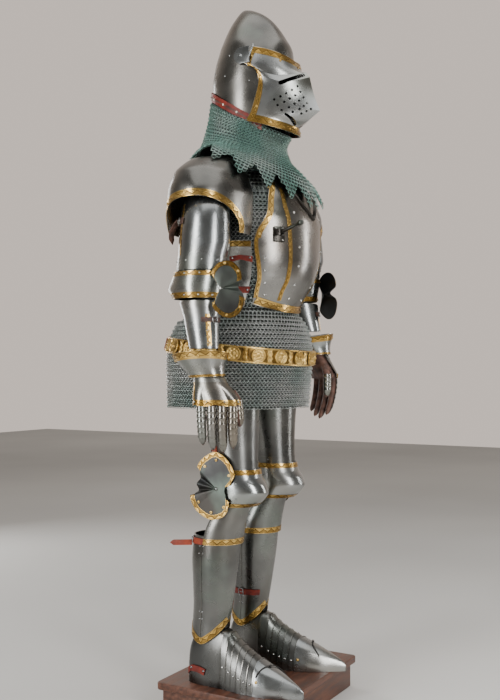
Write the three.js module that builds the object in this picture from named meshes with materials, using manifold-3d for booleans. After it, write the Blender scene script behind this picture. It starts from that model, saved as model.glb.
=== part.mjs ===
// A suit of plate armour of the late fourteenth century, standing by itself on a wooden plinth.
// Millimetres, +Z up. The figure faces -Y and its right hand is at -X. Z = 0 is the plinth's underside.
// Every plate and every piece of mail is a thin wall: a net of points with a second net inside it.
import * as THREE from "three";
import { mergeVertices } from "three/addons/utils/BufferGeometryUtils.js";
import Module from "manifold-3d";

const wasm = await Module();
wasm.setup();

// Driving dimensions
const PLINTH_HEIGHT = 90;
const BOARD_THICKNESS = 20;
const BOARD_WIDTH = 496;
const BOARD_DEPTH = 378;
const BOARD_OVERHANG = 14;
const BOARD_CORNER = 14;
const STEEL = 2; // wall of a plate
const THIN_STEEL = 1.5; // wall of a gauntlet plate
const MAIL = 2.4; // wall of the mail
const LEATHER = 2.6; // wall of a strap
const GLOVE = 1.6; // wall of the glove
const BRASS = 3; // wall of the plaque belt
const GAP = 0.5; // left between pieces that touch
const RIGHT = -1;
const LEFT = 1;
const PLINTH_X = 58; // the suit stands to the right of the board's middle
const PLINTH_Y = 8;
const SHIFT_Y = -6; // brings the middle of the whole object over the origin

// Finishes
const finishes = {
  steel: { color: 0x7d8284, roughness: 0.28, metalness: 1 },
  dark_steel: { color: 0x4c4f50, roughness: 0.35, metalness: 1 },
  mail: { color: 0x82a596, roughness: 0.5, metalness: 1 },
  brass: { color: 0xb68c3c, roughness: 0.35, metalness: 1 },
  red_leather: { color: 0xa83a20, roughness: 0.6, metalness: 0 },
  brown_leather: { color: 0x4a2c22, roughness: 0.65, metalness: 0 },
  black_lace: { color: 0x1a1816, roughness: 0.8, metalness: 0 },
  wood: { color: 0x693c2d, roughness: 0.5, metalness: 0 },
};

const object = new THREE.Group();
const suit = new THREE.Group();
suit.position.set(0, SHIFT_Y, PLINTH_HEIGHT);
object.add(suit);

// ---------------------------------------------------------------- making solids

const point = (x, y, z) => new THREE.Vector3(x, y, z);
const radians = THREE.MathUtils.degToRad;
const mix = THREE.MathUtils.lerp;

function addPiece(group, name, geometry, finish) {
  geometry.computeVertexNormals();
  const mesh = new THREE.Mesh(geometry, new THREE.MeshStandardMaterial(finishes[finish]));
  mesh.name = name;
  group.add(mesh);
}

// A closed geometry from points and triangles: equal points become one, and its faces point out.
function closedGeometry(points, triangles) {
  const places = new Map();
  const kept = [];
  const place = points.map((p) => {
    const key = [p.x, p.y, p.z].map((c) => Math.round(c * 1000)).join();
    if (!places.has(key)) {
      places.set(key, kept.length);
      kept.push(p);
    }
    return places.get(key);
  });
  let index = triangles.map((t) => t.map((i) => place[i]));
  index = index.filter(([a, b, c]) => a !== b && b !== c && a !== c);
  const volume = index.reduce((sum, [a, b, c]) => {
    return sum + kept[a].dot(point().crossVectors(kept[b], kept[c]));
  }, 0);
  if (volume < 0) index = index.map(([a, b, c]) => [a, c, b]);
  return new THREE.BufferGeometry().setFromPoints(kept).setIndex(index.flat());
}

// The way out of a net at each of its points, away from the middle of its row.
function outwardNormals(rows, wrap, centres) {
  const last = rows.length - 1;
  const width = rows[0].length;
  const normals = rows.map((row, i) =>
    row.map((p, j) => {
      const before = wrap ? row[(j + width - 1) % width] : row[Math.max(j - 1, 0)];
      const after = wrap ? row[(j + 1) % width] : row[Math.min(j + 1, width - 1)];
      const along = point().subVectors(after, before);
      const up = point().subVectors(rows[Math.min(i + 1, last)][j], rows[Math.max(i - 1, 0)][j]);
      const normal = point().crossVectors(along, up);
      if (normal.lengthSq() < 1e-6) normal.subVectors(p, centres[i]);
      return normal.normalize();
    }),
  );
  let outwards = 0;
  normals.forEach((row, i) =>
    row.forEach((n, j) => {
      outwards += Math.sign(n.dot(point().subVectors(rows[i][j], centres[i])));
    }),
  );
  if (outwards < 0) normals.forEach((row, i) => row.forEach((n, j) => turnPlain(n, rows[i][j], centres[i])));
  return normals;
}

// Turns one normal round, unless it stands in for a pole's and already points out.
function turnPlain(normal, p, centre) {
  if (point().subVectors(p, centre).normalize().dot(normal) < 0.9999) normal.negate();
}

// A wall that follows a net of points: the net is its outer face, and its inner face lies inside.
// Rows that close on themselves give a tube with two open ends.
function wall(rows, thickness, wrap, centres) {
  const normals = outwardNormals(rows, wrap, centres);
  const inner = rows.map((row, i) => row.map((p, j) => p.clone().addScaledVector(normals[i][j], -thickness)));
  const width = rows[0].length;
  const count = rows.length * width;
  const points = [...rows.flat(), ...inner.flat()];
  const triangles = [];
  const quad = (a, b, c, d) => triangles.push([a, b, c], [a, c, d]);
  const steps = wrap ? width : width - 1;
  for (let i = 0; i + 1 < rows.length; i++)
    for (let j = 0; j < steps; j++) {
      const a = i * width + j;
      const b = i * width + ((j + 1) % width);
      quad(a, b, b + width, a + width);
      quad(count + a, count + a + width, count + b + width, count + b);
    }
  const end = (rows.length - 1) * width;
  for (let j = 0; j < steps; j++) {
    const k = (j + 1) % width;
    quad(j, j + count, k + count, k);
    quad(end + j, end + k, end + k + count, end + j + count);
  }
  if (!wrap)
    for (let i = 0; i + 1 < rows.length; i++) {
      const a = i * width;
      const b = a + width - 1;
      quad(a, a + width, a + width + count, a + count);
      quad(b, b + count, b + width + count, b + width);
    }
  return closedGeometry(points, triangles);
}

// A manifold-3d solid of a geometry, and back.
function solid(geometry) {
  const plain = geometry.clone();
  plain.deleteAttribute("normal");
  plain.deleteAttribute("uv");
  const merged = mergeVertices(plain, 1e-3);
  return new wasm.Manifold(
    new wasm.Mesh({
      numProp: 3,
      vertProperties: new Float32Array(merged.attributes.position.array),
      triVerts: new Uint32Array(merged.index.array),
    }),
  );
}

function geometryOf(made) {
  const mesh = made.getMesh();
  const geometry = new THREE.BufferGeometry();
  geometry.setAttribute("position", new THREE.BufferAttribute(mesh.vertProperties, 3));
  return geometry.setIndex(new THREE.BufferAttribute(mesh.triVerts, 1));
}

const cut = (geometry, ...cutters) =>
  geometryOf(cutters.reduce((left, cutter) => left.subtract(solid(cutter)), solid(geometry)));

// ---------------------------------------------------------------- sections and nets

// A point of a section. The angle starts at the front and grows towards the outside of the limb.
// A section is {z, out, y, side, front, back, lean, square}: its middle is `out` away from the middle
// plane, `lean` raises it towards the back, and `square` above 2 fills its corners.
function onSection(s, degrees, hand) {
  const a = radians(degrees);
  const power = 2 / (s.square ?? 2);
  const round = (t) => Math.sign(t) * Math.abs(t) ** power;
  const dx = s.side * round(Math.sin(a));
  const dy = -(Math.cos(a) > 0 ? s.front : s.back) * round(Math.cos(a));
  return point(hand * (s.out + dx), s.y + dy, s.z + (s.lean ?? 0) * dy + (s.roll ?? 0) * dx);
}

const middleOf = (s, hand) => point(hand * s.out, s.y, s.z);

const spread = (from, to, steps) => Array.from({ length: steps + 1 }, (_, i) => mix(from, to, i / steps));

const around = (columns) => spread(0, 360, columns).slice(0, -1);

// A tube of plate through sections.
function tube(sections, columns, thickness, hand) {
  const rows = sections.map((s) => around(columns).map((a) => onSection(s, a, hand)));
  return wall(rows, thickness, true, sections.map((s) => middleOf(s, hand)));
}

// A plate that goes only part of the way round, between two angles.
function shield(sections, from, to, columns, thickness, hand) {
  const rows = sections.map((s) => spread(from, to, columns).map((a) => onSection(s, a, hand)));
  return wall(rows, thickness, false, sections.map((s) => middleOf(s, hand)));
}

// Reads a table of {z, ...} at any height, in straight steps between its lines.
function at(table, z) {
  const i = Math.min(Math.max(table.findIndex((s) => s.z >= z), 1), table.length - 1);
  const [a, b] = [table[i - 1], table[i]];
  const t = Math.min(Math.max((z - a.z) / (b.z - a.z), 0), 1);
  const read = { ...a, z };
  for (const key of Object.keys(a)) if (key !== "z") read[key] = mix(a[key], b[key], t);
  return read;
}

// Reads a curve given as [[input, output], ...].
const follow = (curve, input) => at(curve.map(([z, value]) => ({ z, value })), input).value;

// A plate whose lower and upper edges are curves of the angle: bottom(angle) and top(angle) give heights.
function shaped(table, angles, shares, bottom, top, thickness, wrap, hand) {
  const rows = shares.map((share) =>
    angles.map((a) => onSection(at(table, mix(bottom(a), top(a), share)), a, hand)),
  );
  const centres = rows.map((row) => {
    const mean = row.reduce((sum, p) => sum.add(p), point(0, 0, 0)).divideScalar(row.length);
    return point(hand * table[0].out, table[0].y, mean.z);
  });
  return wall(rows, thickness, wrap, centres);
}

const turned = (a) => (a > 180 ? 360 - a : a);

// ---------------------------------------------------------------- helmet

const SKULL = [
  { z: 1500, out: 0, y: 0, side: 102, front: 110, back: 110 },
  { z: 1600, out: 0, y: 0, side: 106.8, front: 114, back: 114.3 },
  { z: 1636, out: 0, y: 1, side: 106.8, front: 114.3, back: 114.3 },
  { z: 1691, out: 0, y: -5, side: 104.5, front: 111.8, back: 111.8 },
  { z: 1733, out: 0, y: -10, side: 97.2, front: 104, back: 104 },
  { z: 1765, out: 0, y: -7, side: 83.6, front: 89.4, back: 89.4 },
  { z: 1798, out: 0, y: -3, side: 66.8, front: 71.4, back: 71.4 },
  { z: 1828, out: 0, y: 3, side: 45, front: 48.3, back: 48.3 },
  { z: 1850, out: 0, y: 14, side: 20.4, front: 21.8, back: 21.8 },
  { z: 1857, out: 0, y: 26, side: 5, front: 6, back: 6 },
];
const STRIP_SLOPE = 0.626; // the helmet's lower edge rises this much towards the back
const STRIP_HEIGHT = 25;
const stripFoot = (y) => 1539 + STRIP_SLOPE * y;

// The height of the helmet's lower edge at an angle from the front.
function skullFoot(angle) {
  const a = turned(angle);
  if (a <= 42) return 1675;
  return stripFoot(-110 * Math.cos(radians(a))) + 4;
}

function skull() {
  const half = [0, 21, 42, 44.5, 62, 82, 102, 122, 142, 162];
  const angles = [...half, 180, ...half.slice(1).reverse().map((a) => 360 - a)];
  const shares = [0, 0.2, 0.4, 0.58, 0.72, 0.83, 0.91, 0.97, 1];
  const rows = shares.map((share) =>
    angles.map((a) => onSection(at(SKULL, mix(skullFoot(a), 1857, share)), a, LEFT)),
  );
  rows.push(angles.map(() => point(0, 27, 1858)));
  const centres = rows.map(() => point(0, 0, 1640));
  addPiece(suit, "helmet_skull", wall(rows, STEEL, true, centres), "dark_steel");
}

// The leather strip on the skull's lower edge, from cheek to cheek round the back.
function helmetStrip() {
  const angles = spread(50, 310, 18);
  const row = (lift) =>
    angles.map((a) => {
      const y = -114 * Math.cos(radians(a));
      const s = at(SKULL, stripFoot(y) + lift);
      return onSection(grown(s, LEATHER + 3 * GAP), a, LEFT);
    });
  const rows = [row(0), row(STRIP_HEIGHT)];
  addPiece(suit, "helmet_strip", wall(rows, LEATHER, false, rows.map(() => point(0, 0, 1560))), "red_leather");
}

// The visor is a fan of curves, each from its ridge in front to its rear edge at the temple. A line holds
// the heights and depths of a curve's four handles: ridge, two between, and rear edge.
const VISOR = [
  [0, -133, 1690, 64, -133, 1695, 92, -88, 1712, 96, -51, 1718],
  [0, -150, 1660, 56, -146, 1656, 98, -90, 1668, 106, -35, 1673],
  [0, -165, 1656, 40, -153, 1642, 80, -110, 1620, 99, -55, 1665],
  [0, -177, 1641, 44, -163, 1624, 80, -116, 1600, 93, -64, 1652],
  [0, -189, 1594, 40, -160, 1584, 76, -112, 1574, 89, -68, 1628],
  [0, -208, 1546, 34, -166, 1552, 72, -112, 1550, 93, -62, 1590],
  [0, -172, 1524, 38, -152, 1528, 74, -112, 1532, 98, -55, 1560],
  [0, -138, 1507, 42, -136, 1512, 84, -98, 1522, 102, -49, 1537],
  [0, -141, 1488, 46, -139, 1490, 88, -98, 1503, 108, -36, 1517],
];
const TEMPLE = { x: 101, y: -27, z: 1693 }; // the visor turns on these rivets, one on each side

function visorRow(line) {
  const handles = [0, 3, 6, 9].map((i) => point(line[i], line[i + 1], line[i + 2]));
  const curve = new THREE.CubicBezierCurve3(...handles);
  const half = [0.12, 0.28, 0.46, 0.64, 0.82, 1].map((t) => curve.getPoint(t));
  const other = half.map((p) => point(-p.x, p.y, p.z)).reverse();
  return [...other, curve.getPoint(0), ...half];
}

// A slot from one point of the visor to another, driven inwards along the look.
function slot(from, to, height, depth) {
  const length = from.distanceTo(to);
  const box = new THREE.BoxGeometry(length, depth, height);
  const along = point().subVectors(to, from).normalize();
  const inwards = point(along.y, -along.x, 0).normalize();
  const up = point().crossVectors(along, inwards).normalize();
  const turn = new THREE.Matrix4().makeBasis(along, point().crossVectors(up, along), up);
  turn.setPosition(point().addVectors(from, to).multiplyScalar(0.5));
  return box.applyMatrix4(turn);
}

function visor() {
  const rows = VISOR.map(visorRow);
  const plate = wall(rows, STEEL, false, rows.map((row) => point(0, -20, row[6].z)));
  const sight = [RIGHT, LEFT].map((hand) => slot(point(hand * 10, -164, 1648), point(hand * 64, -126, 1616), 7, 40));
  const mouth = [RIGHT, LEFT].map((hand) => slot(point(hand * 14, -158, 1510), point(hand * 36, -142, 1536), 5, 40));
  addPiece(suit, "visor", cut(plate, ...sight, ...mouth), "steel");
}

// A rounded plate at each temple, which carries the visor.
function visorArm(hand, name) {
  const outline = new THREE.Shape();
  outline.moveTo(-26, 22);
  outline.lineTo(0, 22);
  outline.absarc(0, 0, 22, Math.PI / 2, -Math.PI / 2, true);
  outline.lineTo(-10, -22);
  outline.closePath();
  const plate = new THREE.ExtrudeGeometry(outline, { depth: STEEL, bevelEnabled: false, curveSegments: 8 });
  const basis = new THREE.Matrix4().makeBasis(point(0, 1, 0), point(0, 0, 1), point(1, 0, 0));
  plate.applyMatrix4(basis);
  plate.translate(hand * (TEMPLE.x + 9.5) - STEEL / 2, TEMPLE.y + 1, TEMPLE.z);
  addPiece(suit, name, plate, "steel");
}

// ---------------------------------------------------------------- mail

// The mail cape: each line is one course of its fall, with its height in front, at the side and behind.
const AVENTAIL = [
  { foreZ: 1492, sideZ: 1537, backZ: 1609, side: 110, front: 106, back: 117, pinch: 1 },
  { foreZ: 1462, sideZ: 1500, backZ: 1555, side: 113, front: 86, back: 126, pinch: 1 },
  { foreZ: 1430, sideZ: 1464, backZ: 1505, side: 136, front: 94, back: 134, pinch: 1.05 },
  { foreZ: 1390, sideZ: 1446, backZ: 1454, side: 176, front: 130, back: 138, pinch: 1.15 },
  { foreZ: 1337, sideZ: 1436, backZ: 1418, side: 216, front: 172, back: 136, pinch: 1.25 },
  { foreZ: 1282, sideZ: 1410, backZ: 1384, side: 265, front: 195, back: 134, pinch: 1.36 },
];
const AVENTAIL_TEETH = 20;

function aventailPoint(c, degrees) {
  const a = radians(degrees);
  const fore = Math.cos(a);
  const z = c.sideZ + (fore > 0 ? (c.foreZ - c.sideZ) * fore : (c.backZ - c.sideZ) * -fore);
  const aside = Math.sign(Math.sin(a)) * Math.abs(Math.sin(a)) ** c.pinch;
  return point(-c.side * aside, -(fore > 0 ? c.front : c.back) * fore, z);
}

function aventail() {
  const columns = around(2 * AVENTAIL_TEETH);
  const rows = AVENTAIL.map((course) => columns.map((a) => aventailPoint(course, a)));
  for (const p of rows[0]) p.z = Math.max(AVENTAIL[0].foreZ, stripFoot(p.y) - 4);
  const hem = rows[rows.length - 1];
  const above = rows[rows.length - 2];
  hem.forEach((p, j) => {
    if (j % 2) p.lerp(above[j], 0.62);
  });
  addPiece(suit, "aventail", wall(rows, MAIL, true, rows.map((row) => point(0, 0, row[0].z - 60))), "mail");
}

// The body's outer form, as the breastplate and backplate have it.
const TORSO = [
  { z: 1000, out: 0, y: 24, side: 168, front: 152, back: 140 },
  { z: 1020, out: 0, y: 22, side: 163, front: 147, back: 135 },
  { z: 1050, out: 0, y: 20, side: 168, front: 161, back: 135 },
  { z: 1094, out: 0, y: 20, side: 175, front: 192, back: 135 },
  { z: 1145, out: 0, y: 20, side: 185, front: 206, back: 137 },
  { z: 1190, out: 0, y: 20, side: 190, front: 209, back: 138 },
  { z: 1238, out: 0, y: 20, side: 190, front: 209, back: 138 },
  { z: 1289, out: 0, y: 20, side: 185, front: 197, back: 135 },
  { z: 1330, out: 0, y: 20, side: 172, front: 184, back: 128 },
  { z: 1365, out: 0, y: 20, side: 150, front: 150, back: 112 },
];
const PLATE_EDGE = [[1000, 50], [1100, 54], [1180, 57], [1212, 55], [1240, 50], [1270, 46], [1310, 44], [1365, 40]];
const plateEdge = (z) => follow(PLATE_EDGE, z);

const grown = (s, by) => ({ ...s, side: s.side + by, front: s.front + by, back: s.back + by });

function breastplate() {
  const heights = [1004, 1022, 1050, 1094, 1145, 1190, 1238, 1289, 1330, 1360];
  const rows = heights.map((z) =>
    spread(-1, 1, 14).map((t) => {
      const lifted = z < 1010 ? z + 20 * t * t : z;
      return onSection(at(TORSO, lifted), t * plateEdge(z), LEFT);
    }),
  );
  addPiece(suit, "breastplate", wall(rows, STEEL, false, heights.map((z) => point(0, 20, z))), "steel");
}

function backplate() {
  const angles = [59, 72, 86, 100, 113, 128, 145, 162, 180, 198, 215, 232, 247, 260, 274, 288, 301];
  const top = (a) => follow([[59, 1186], [100, 1190], [113, 1215], [128, 1290], [145, 1345], [180, 1350]], turned(a));
  const bottom = (a) => (turned(a) < 61 ? 1024 : 1016);
  const shares = [0, 0.12, 0.3, 0.5, 0.7, 0.87, 1];
  addPiece(suit, "backplate", shaped(TORSO, angles, shares, bottom, top, STEEL, false, LEFT), "steel");
}

// The mail shirt: under the plates it keeps 9 mm inside them, and below the waist it is the skirt.
const SKIRT = [
  { z: 750, out: 0, y: 48, side: 200, front: 195, back: 195 },
  { z: 800, out: 0, y: 46, side: 205, front: 197, back: 197 },
  { z: 890, out: 0, y: 41.5, side: 210, front: 200, back: 200 },
  { z: 945, out: 0, y: 38, side: 200, front: 190, back: 192 },
  { z: 980, out: 0, y: 36, side: 184, front: 174, back: 178 },
];
const ARMHOLE = { z: 1262, y: 5, radius: 62 };

function hauberk() {
  const upper = [1012, 1050, 1094, 1145, 1238, 1325].map((z) => grown(at(TORSO, z), -9));
  const shoulders = [
    { z: 1362, out: 0, y: 20, side: 150, front: 128, back: 96 },
    { z: 1388, out: 0, y: 18, side: 112, front: 92, back: 78 },
  ];
  const shirt = tube([...SKIRT, ...upper, ...shoulders], 20, MAIL, LEFT);
  const armholes = new THREE.CylinderGeometry(ARMHOLE.radius, ARMHOLE.radius, 120, 12);
  const sleeves = [RIGHT, LEFT].map((hand) => {
    const hole = armholes.clone().rotateZ(Math.PI / 2);
    return hole.translate(hand * 180, ARMHOLE.y, ARMHOLE.z);
  });
  addPiece(suit, "mail_shirt", cut(shirt, ...sleeves), "mail");
}

// ---------------------------------------------------------------- what is fixed to the body

const BELT_LEAN = 0.11; // the belt rises towards the back
const BELT_HEIGHT = 40;

function plaqueBelt() {
  const row = (lift) =>
    around(24).map((a) => {
      const flat = onSection(grown(at(SKIRT, 899), GAP + BRASS + 3), a, LEFT);
      const z = 899 + BELT_LEAN * flat.y + lift;
      return onSection({ ...grown(at(SKIRT, Math.min(z, 930)), GAP + BRASS + 3), z }, a, LEFT);
    });
  const rows = [row(-BELT_HEIGHT / 2), row(0), row(BELT_HEIGHT / 2)];
  addPiece(suit, "plaque_belt", wall(rows, BRASS, true, rows.map(() => point(0, 40, 900))), "brass");
}

// The V-shaped rib that turns a point aside from the throat.
function stopRib() {
  const line = [[-20, 1318], [-10, 1287], [0, 1256], [10, 1287], [20, 1318]];
  const row = (lift, off) => line.map(([a, z]) => onSection(grown(at(TORSO, z + lift), off), a, LEFT));
  const rows = [row(-4, 3), row(0, 7), row(4, 3)];
  const inner = [row(-4, 1.6), row(0, 1.6), row(4, 1.6)];
  const points = [...rows.flat(), ...inner.flat()];
  const n = line.length;
  const triangles = [];
  const quad = (a, b, c, d) => triangles.push([a, b, c], [a, c, d]);
  for (let i = 0; i < 2; i++)
    for (let j = 0; j + 1 < n; j++) {
      const a = i * n + j;
      quad(a, a + 1, a + 1 + n, a + n);
      quad(a + 3 * n, a + 4 * n, a + 4 * n + 1, a + 3 * n + 1);
    }
  for (let j = 0; j + 1 < n; j++) {
    quad(j, j + 3 * n, j + 3 * n + 1, j + 1);
    quad(2 * n + j, 2 * n + j + 1, 5 * n + j + 1, 5 * n + j);
  }
  for (let i = 0; i < 2; i++) {
    const a = i * n;
    quad(a, a + n, a + 4 * n, a + 3 * n);
    quad(a + n - 1, a + 4 * n - 1, a + 5 * n - 1, a + 2 * n - 1);
  }
  addPiece(suit, "stop_rib", closedGeometry(points, triangles), "dark_steel");
}

// The lance rest stands on the right of the breast: a base plate with a fork, and an arm that folds up.
const REST = { angle: 38, z: 1204, width: 30, height: 40, base: 4, arm: 76, thickness: 7, knob: 7.5 };
const REST_AHEAD = 8.6; // degrees from straight forward to where the arm points, towards the right
const REST_RISE = 16; // degrees that the arm points upwards
const REST_STAND = 2.4; // the breast falls away from the plate's edges

// Puts a geometry into a frame given by its sideways, outward and upward directions.
function placed(geometry, origin, out, up) {
  const aside = point().crossVectors(out, up).normalize();
  const basis = new THREE.Matrix4().makeBasis(aside, out, point().crossVectors(aside, out)).setPosition(origin);
  return geometry.applyMatrix4(basis);
}

function lanceRest() {
  const breast = at(TORSO, REST.z);
  const foot = onSection(breast, REST.angle, RIGHT);
  const level = onSection(breast, REST.angle + 1, RIGHT).sub(foot).normalize();
  const out = point(level.y, -level.x, 0);
  if (out.y > 0) out.negate();
  const up = point(0, 0, 1);
  const plate = new THREE.BoxGeometry(REST.width, REST.base, REST.height).translate(0, REST_STAND + REST.base / 2, 0);
  const behind = new THREE.BoxGeometry(90, 40, 90).translate(0, REST_STAND - 18, 0);
  const pivot = foot.clone().addScaledVector(out, REST_STAND + REST.base + 9).addScaledVector(up, 4);
  const flatAhead = point(-Math.sin(radians(REST_AHEAD)), -Math.cos(radians(REST_AHEAD)), 0);
  const cheeks = [-7.5, 7.5].map((a) => {
    const cheek = new THREE.BoxGeometry(4, 20, 18).translate(a, -5, 0);
    return solid(placed(cheek, pivot, flatAhead, up)).subtract(solid(placed(behind.clone(), foot, out, up)));
  });
  const base = cheeks.reduce((sum, part) => sum.add(part), solid(placed(plate, foot, out, up)));
  addPiece(suit, "lance_rest_base", geometryOf(base), "dark_steel");
  const rise = radians(REST_RISE);
  const ahead = flatAhead.clone().multiplyScalar(Math.cos(rise)).addScaledVector(up, Math.sin(rise));
  const bar = new THREE.BoxGeometry(REST.thickness, REST.arm, REST.thickness).translate(0, REST.arm / 2 - 4, 0);
  const knob = new THREE.SphereGeometry(REST.knob, 10, 6).translate(0, REST.arm - 4, 0);
  const arm = solid(placed(bar, pivot, ahead, up)).add(solid(placed(knob, pivot, ahead, up)));
  addPiece(suit, "lance_rest_arm", geometryOf(arm), "dark_steel");
}

// A short strap that joins the breastplate to the backplate, low on each side.
function sideStrap(hand, name) {
  const heights = [1128, 1136, 1144];
  const rows = heights.map((z) =>
    spread(60, 74, 3).map((a) => onSection(grown(at(TORSO, z), GAP + LEATHER + 0.4), a, hand)),
  );
  addPiece(suit, name, wall(rows, LEATHER, false, heights.map((z) => point(0, 20, z))), "red_leather");
}

// ---------------------------------------------------------------- arms

// Where each arm hangs: the right one nearly straight, the left one bent forward at the elbow.
const ARMS = {
  right: { hand: RIGHT, elbow: point(274, -2, 1054), wrist: point(284, -32, 832), wingBack: 0, palm: point(286, -56, 774) },
  left: { hand: LEFT, elbow: point(274, 0, 1080), wrist: point(286, -54, 895), wingBack: 15, palm: point(290, -76, 838) },
};

const SPAULDER = [
  { z: 1195, out: 168, y: 8, side: 170, front: 94, back: 90, square: 2.5, lean: 0 },
  { z: 1244, out: 168, y: 8, side: 172, front: 104, back: 100, square: 2.5, lean: 0 },
  { z: 1300, out: 166, y: 8, side: 170, front: 104, back: 100, square: 2.4, lean: 0.02 },
  { z: 1352, out: 162, y: 8, side: 155, front: 88, back: 92, square: 2.2, lean: 0.05 },
  { z: 1380, out: 158, y: 8, side: 126, front: 73, back: 82, square: 2, lean: 0.05 },
  { z: 1398, out: 154, y: 8, side: 94, front: 57, back: 70, square: 2, lean: 0.03 },
  { z: 1408, out: 152, y: 8, side: 50, front: 36, back: 50, square: 2, lean: 0.03 },
];

// The spaulder's lower edge rises in an arch over the arm.
function archHeight(angle) {
  const across = (angle - 75) / 62;
  return Math.abs(across) < 1 ? 1200 + 83 * Math.sqrt(1 - across * across) : 1200;
}

function spaulder(arm, name) {
  const angles = [0, 8, 13, 17, 24, 34, 46, 60, 75, 90, 104, 116, 126, 133, 137, 148, 164, 180];
  const shares = [0, 0.3, 0.55, 0.76, 0.9, 1];
  const plate = shaped(SPAULDER, angles, shares, archHeight, () => 1408, STEEL, false, arm.hand);
  addPiece(suit, name, plate, "steel");
}

function upperCannon(arm, name) {
  const { x, y, z } = arm.elbow;
  const sections = [
    { z: 1290, out: 256, y: -8, side: 50, front: 58, back: 58 },
    { z: 1240, out: 265, y: -14, side: 57, front: 65, back: 65 },
    { z: 1180, out: 270, y: -14, side: 60, front: 68, back: 68 },
    { z: z + 47, out: x, y: y - 4, side: 56, front: 63, back: 63 },
  ];
  addPiece(suit, name, tube(sections, 14, STEEL, arm.hand), "steel");
}

// The elbow cup comes to a blunt point behind.
function couter(arm, name) {
  const { x, y, z } = arm.elbow;
  const sections = [
    { z: z + 44, out: x, y: y - 2, side: 60, front: 66, back: 68 },
    { z: z + 22, out: x, y, side: 63, front: 65, back: 78 },
    { z, out: x, y, side: 63, front: 62, back: 86 },
    { z: z - 24, out: x, y, side: 58, front: 58, back: 70 },
  ];
  addPiece(suit, name, tube(sections, 16, STEEL, arm.hand), "steel");
}

// A wing is a fan of plate round a rivet, given by its rim: [across, up] from the rivet.
function wing(rim, rivet, across, out, pleat, thickness, name) {
  const up = point(0, 0, 1);
  const shares = [0, 0.5, 1];
  const rows = shares.map((share) =>
    rim.map(([s, z], i) => {
      const lift = share * pleat[i];
      return rivet.clone().addScaledVector(across, s * share).addScaledVector(up, z * share).addScaledVector(out, lift);
    }),
  );
  const behind = rivet.clone().addScaledVector(out, -200);
  addPiece(suit, name, wall(rows, thickness, true, rows.map(() => behind)), "steel");
}

const COUTER_WING = [
  [-14, 39], [-5, 57], [10, 67], [28, 61], [46, 36], [50, 14], [44, 3], [54, -10], [52, -28], [46, -48], [28, -67], [8, -63],
  [-10, -45], [-17, -16], [-20, 10],
];
const COUTER_PLEAT = [-4, 0, 3, 4, 4, 3, -9, 3, 4, 4, 4, 3, 0, -5, -6];

function couterWing(arm, name) {
  const across = point(-arm.hand * 0.45, -0.893, 0);
  const rivet = point(arm.hand * (arm.elbow.x + 33), arm.elbow.y - 82, arm.elbow.z - 2);
  rivet.addScaledVector(across, -arm.wingBack);
  const out = point(arm.hand * 0.893, -0.45, 0);
  wing(COUTER_WING, rivet, across, out, COUTER_PLEAT, STEEL, name);
}

// The forearm plate runs from the elbow into the gauntlet's cuff.
function lowerCannon(arm, name) {
  const { elbow, wrist } = arm;
  const along = (t, side, front) => {
    const z = mix(elbow.z - 30, wrist.z + 72, t);
    const share = (elbow.z - z) / (elbow.z - wrist.z);
    return { z, out: mix(elbow.x, wrist.x, share), y: mix(elbow.y, wrist.y, share) + 2, side, front, back: front };
  };
  const sections = [along(0, 47, 52), along(0.25, 43, 48), along(0.6, 39, 44), along(1, 34, 39)];
  addPiece(suit, name, tube(sections, 14, STEEL, arm.hand), "steel");
}

function cuff(arm, name) {
  const { x, y, z } = arm.wrist;
  const sections = [
    { z: z + 56, out: x - 1, y: y + 22, side: 67, front: 74, back: 74, lean: -0.1, roll: 0.12 },
    { z: z + 44, out: x, y: y + 18, side: 61, front: 68, back: 68, lean: -0.1, roll: 0.1 },
    { z: z + 22, out: x, y: y + 9, side: 48, front: 54, back: 54, lean: -0.06 },
    { z: z, out: x, y, side: 39, front: 46, back: 46, lean: -0.05 },
  ];
  addPiece(suit, name, tube(sections, 18, THIN_STEEL, arm.hand), "steel");
}

// A hand's own frame: across its back towards the thumb, out of its back, and up the arm.
function handFrame(arm) {
  const across = point(-arm.hand * 0.42, -0.907, 0);
  const out = point(arm.hand * 0.907, -0.42, 0);
  return { across, out, up: point(0, 0, 1) };
}

const WRIST_BACK = 0.36; // above the palm the hand slants back and inwards to the wrist
const WRIST_IN = 0.2;

const palmOf = (arm) => point(arm.hand * arm.palm.x, arm.palm.y, arm.palm.z);

function onHand(arm, across, out, up) {
  const frame = handFrame(arm);
  const rise = Math.max(up, 0);
  const p = palmOf(arm).addScaledVector(frame.across, across - WRIST_BACK * rise);
  return p.addScaledVector(frame.out, out - WRIST_IN * rise).addScaledVector(frame.up, up);
}

const FINGERS = [
  { name: "index", across: 41, length: 104, width: 22 },
  { name: "middle", across: 14, length: 116, width: 22.5 },
  { name: "ring", across: -13, length: 110, width: 22 },
  { name: "little", across: -39, length: 96, width: 20.5 },
];
const BEND = 0.0022; // how much a relaxed finger curls towards the palm

// The plate over the back of the hand, with a ridge for each finger.
function handPlate(arm, name) {
  const lines = [
    { up: 62, half: 37, rise: 36, ridge: 0 },
    { up: 42, half: 43, rise: 36, ridge: 0 },
    { up: 20, half: 53, rise: 31, ridge: 1.5 },
    { up: 0, half: 59, rise: 27, ridge: 3 },
    { up: -10, half: 60, rise: 25, ridge: 3 },
  ];
  const rows = lines.map((l) =>
    spread(-84, 84, 12).map((a, j) => {
      const t = radians(a);
      const fold = j % 3 === 1 ? l.ridge : -l.ridge / 3;
      return onHand(arm, l.half * Math.sin(t) + 4, (l.rise + fold) * Math.cos(t) ** 0.8 - 4, l.up);
    }),
  );
  const centres = lines.map((l) => onHand(arm, 4, -10, l.up));
  addPiece(suit, name, wall(rows, THIN_STEEL, false, centres), "steel");
}

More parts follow.
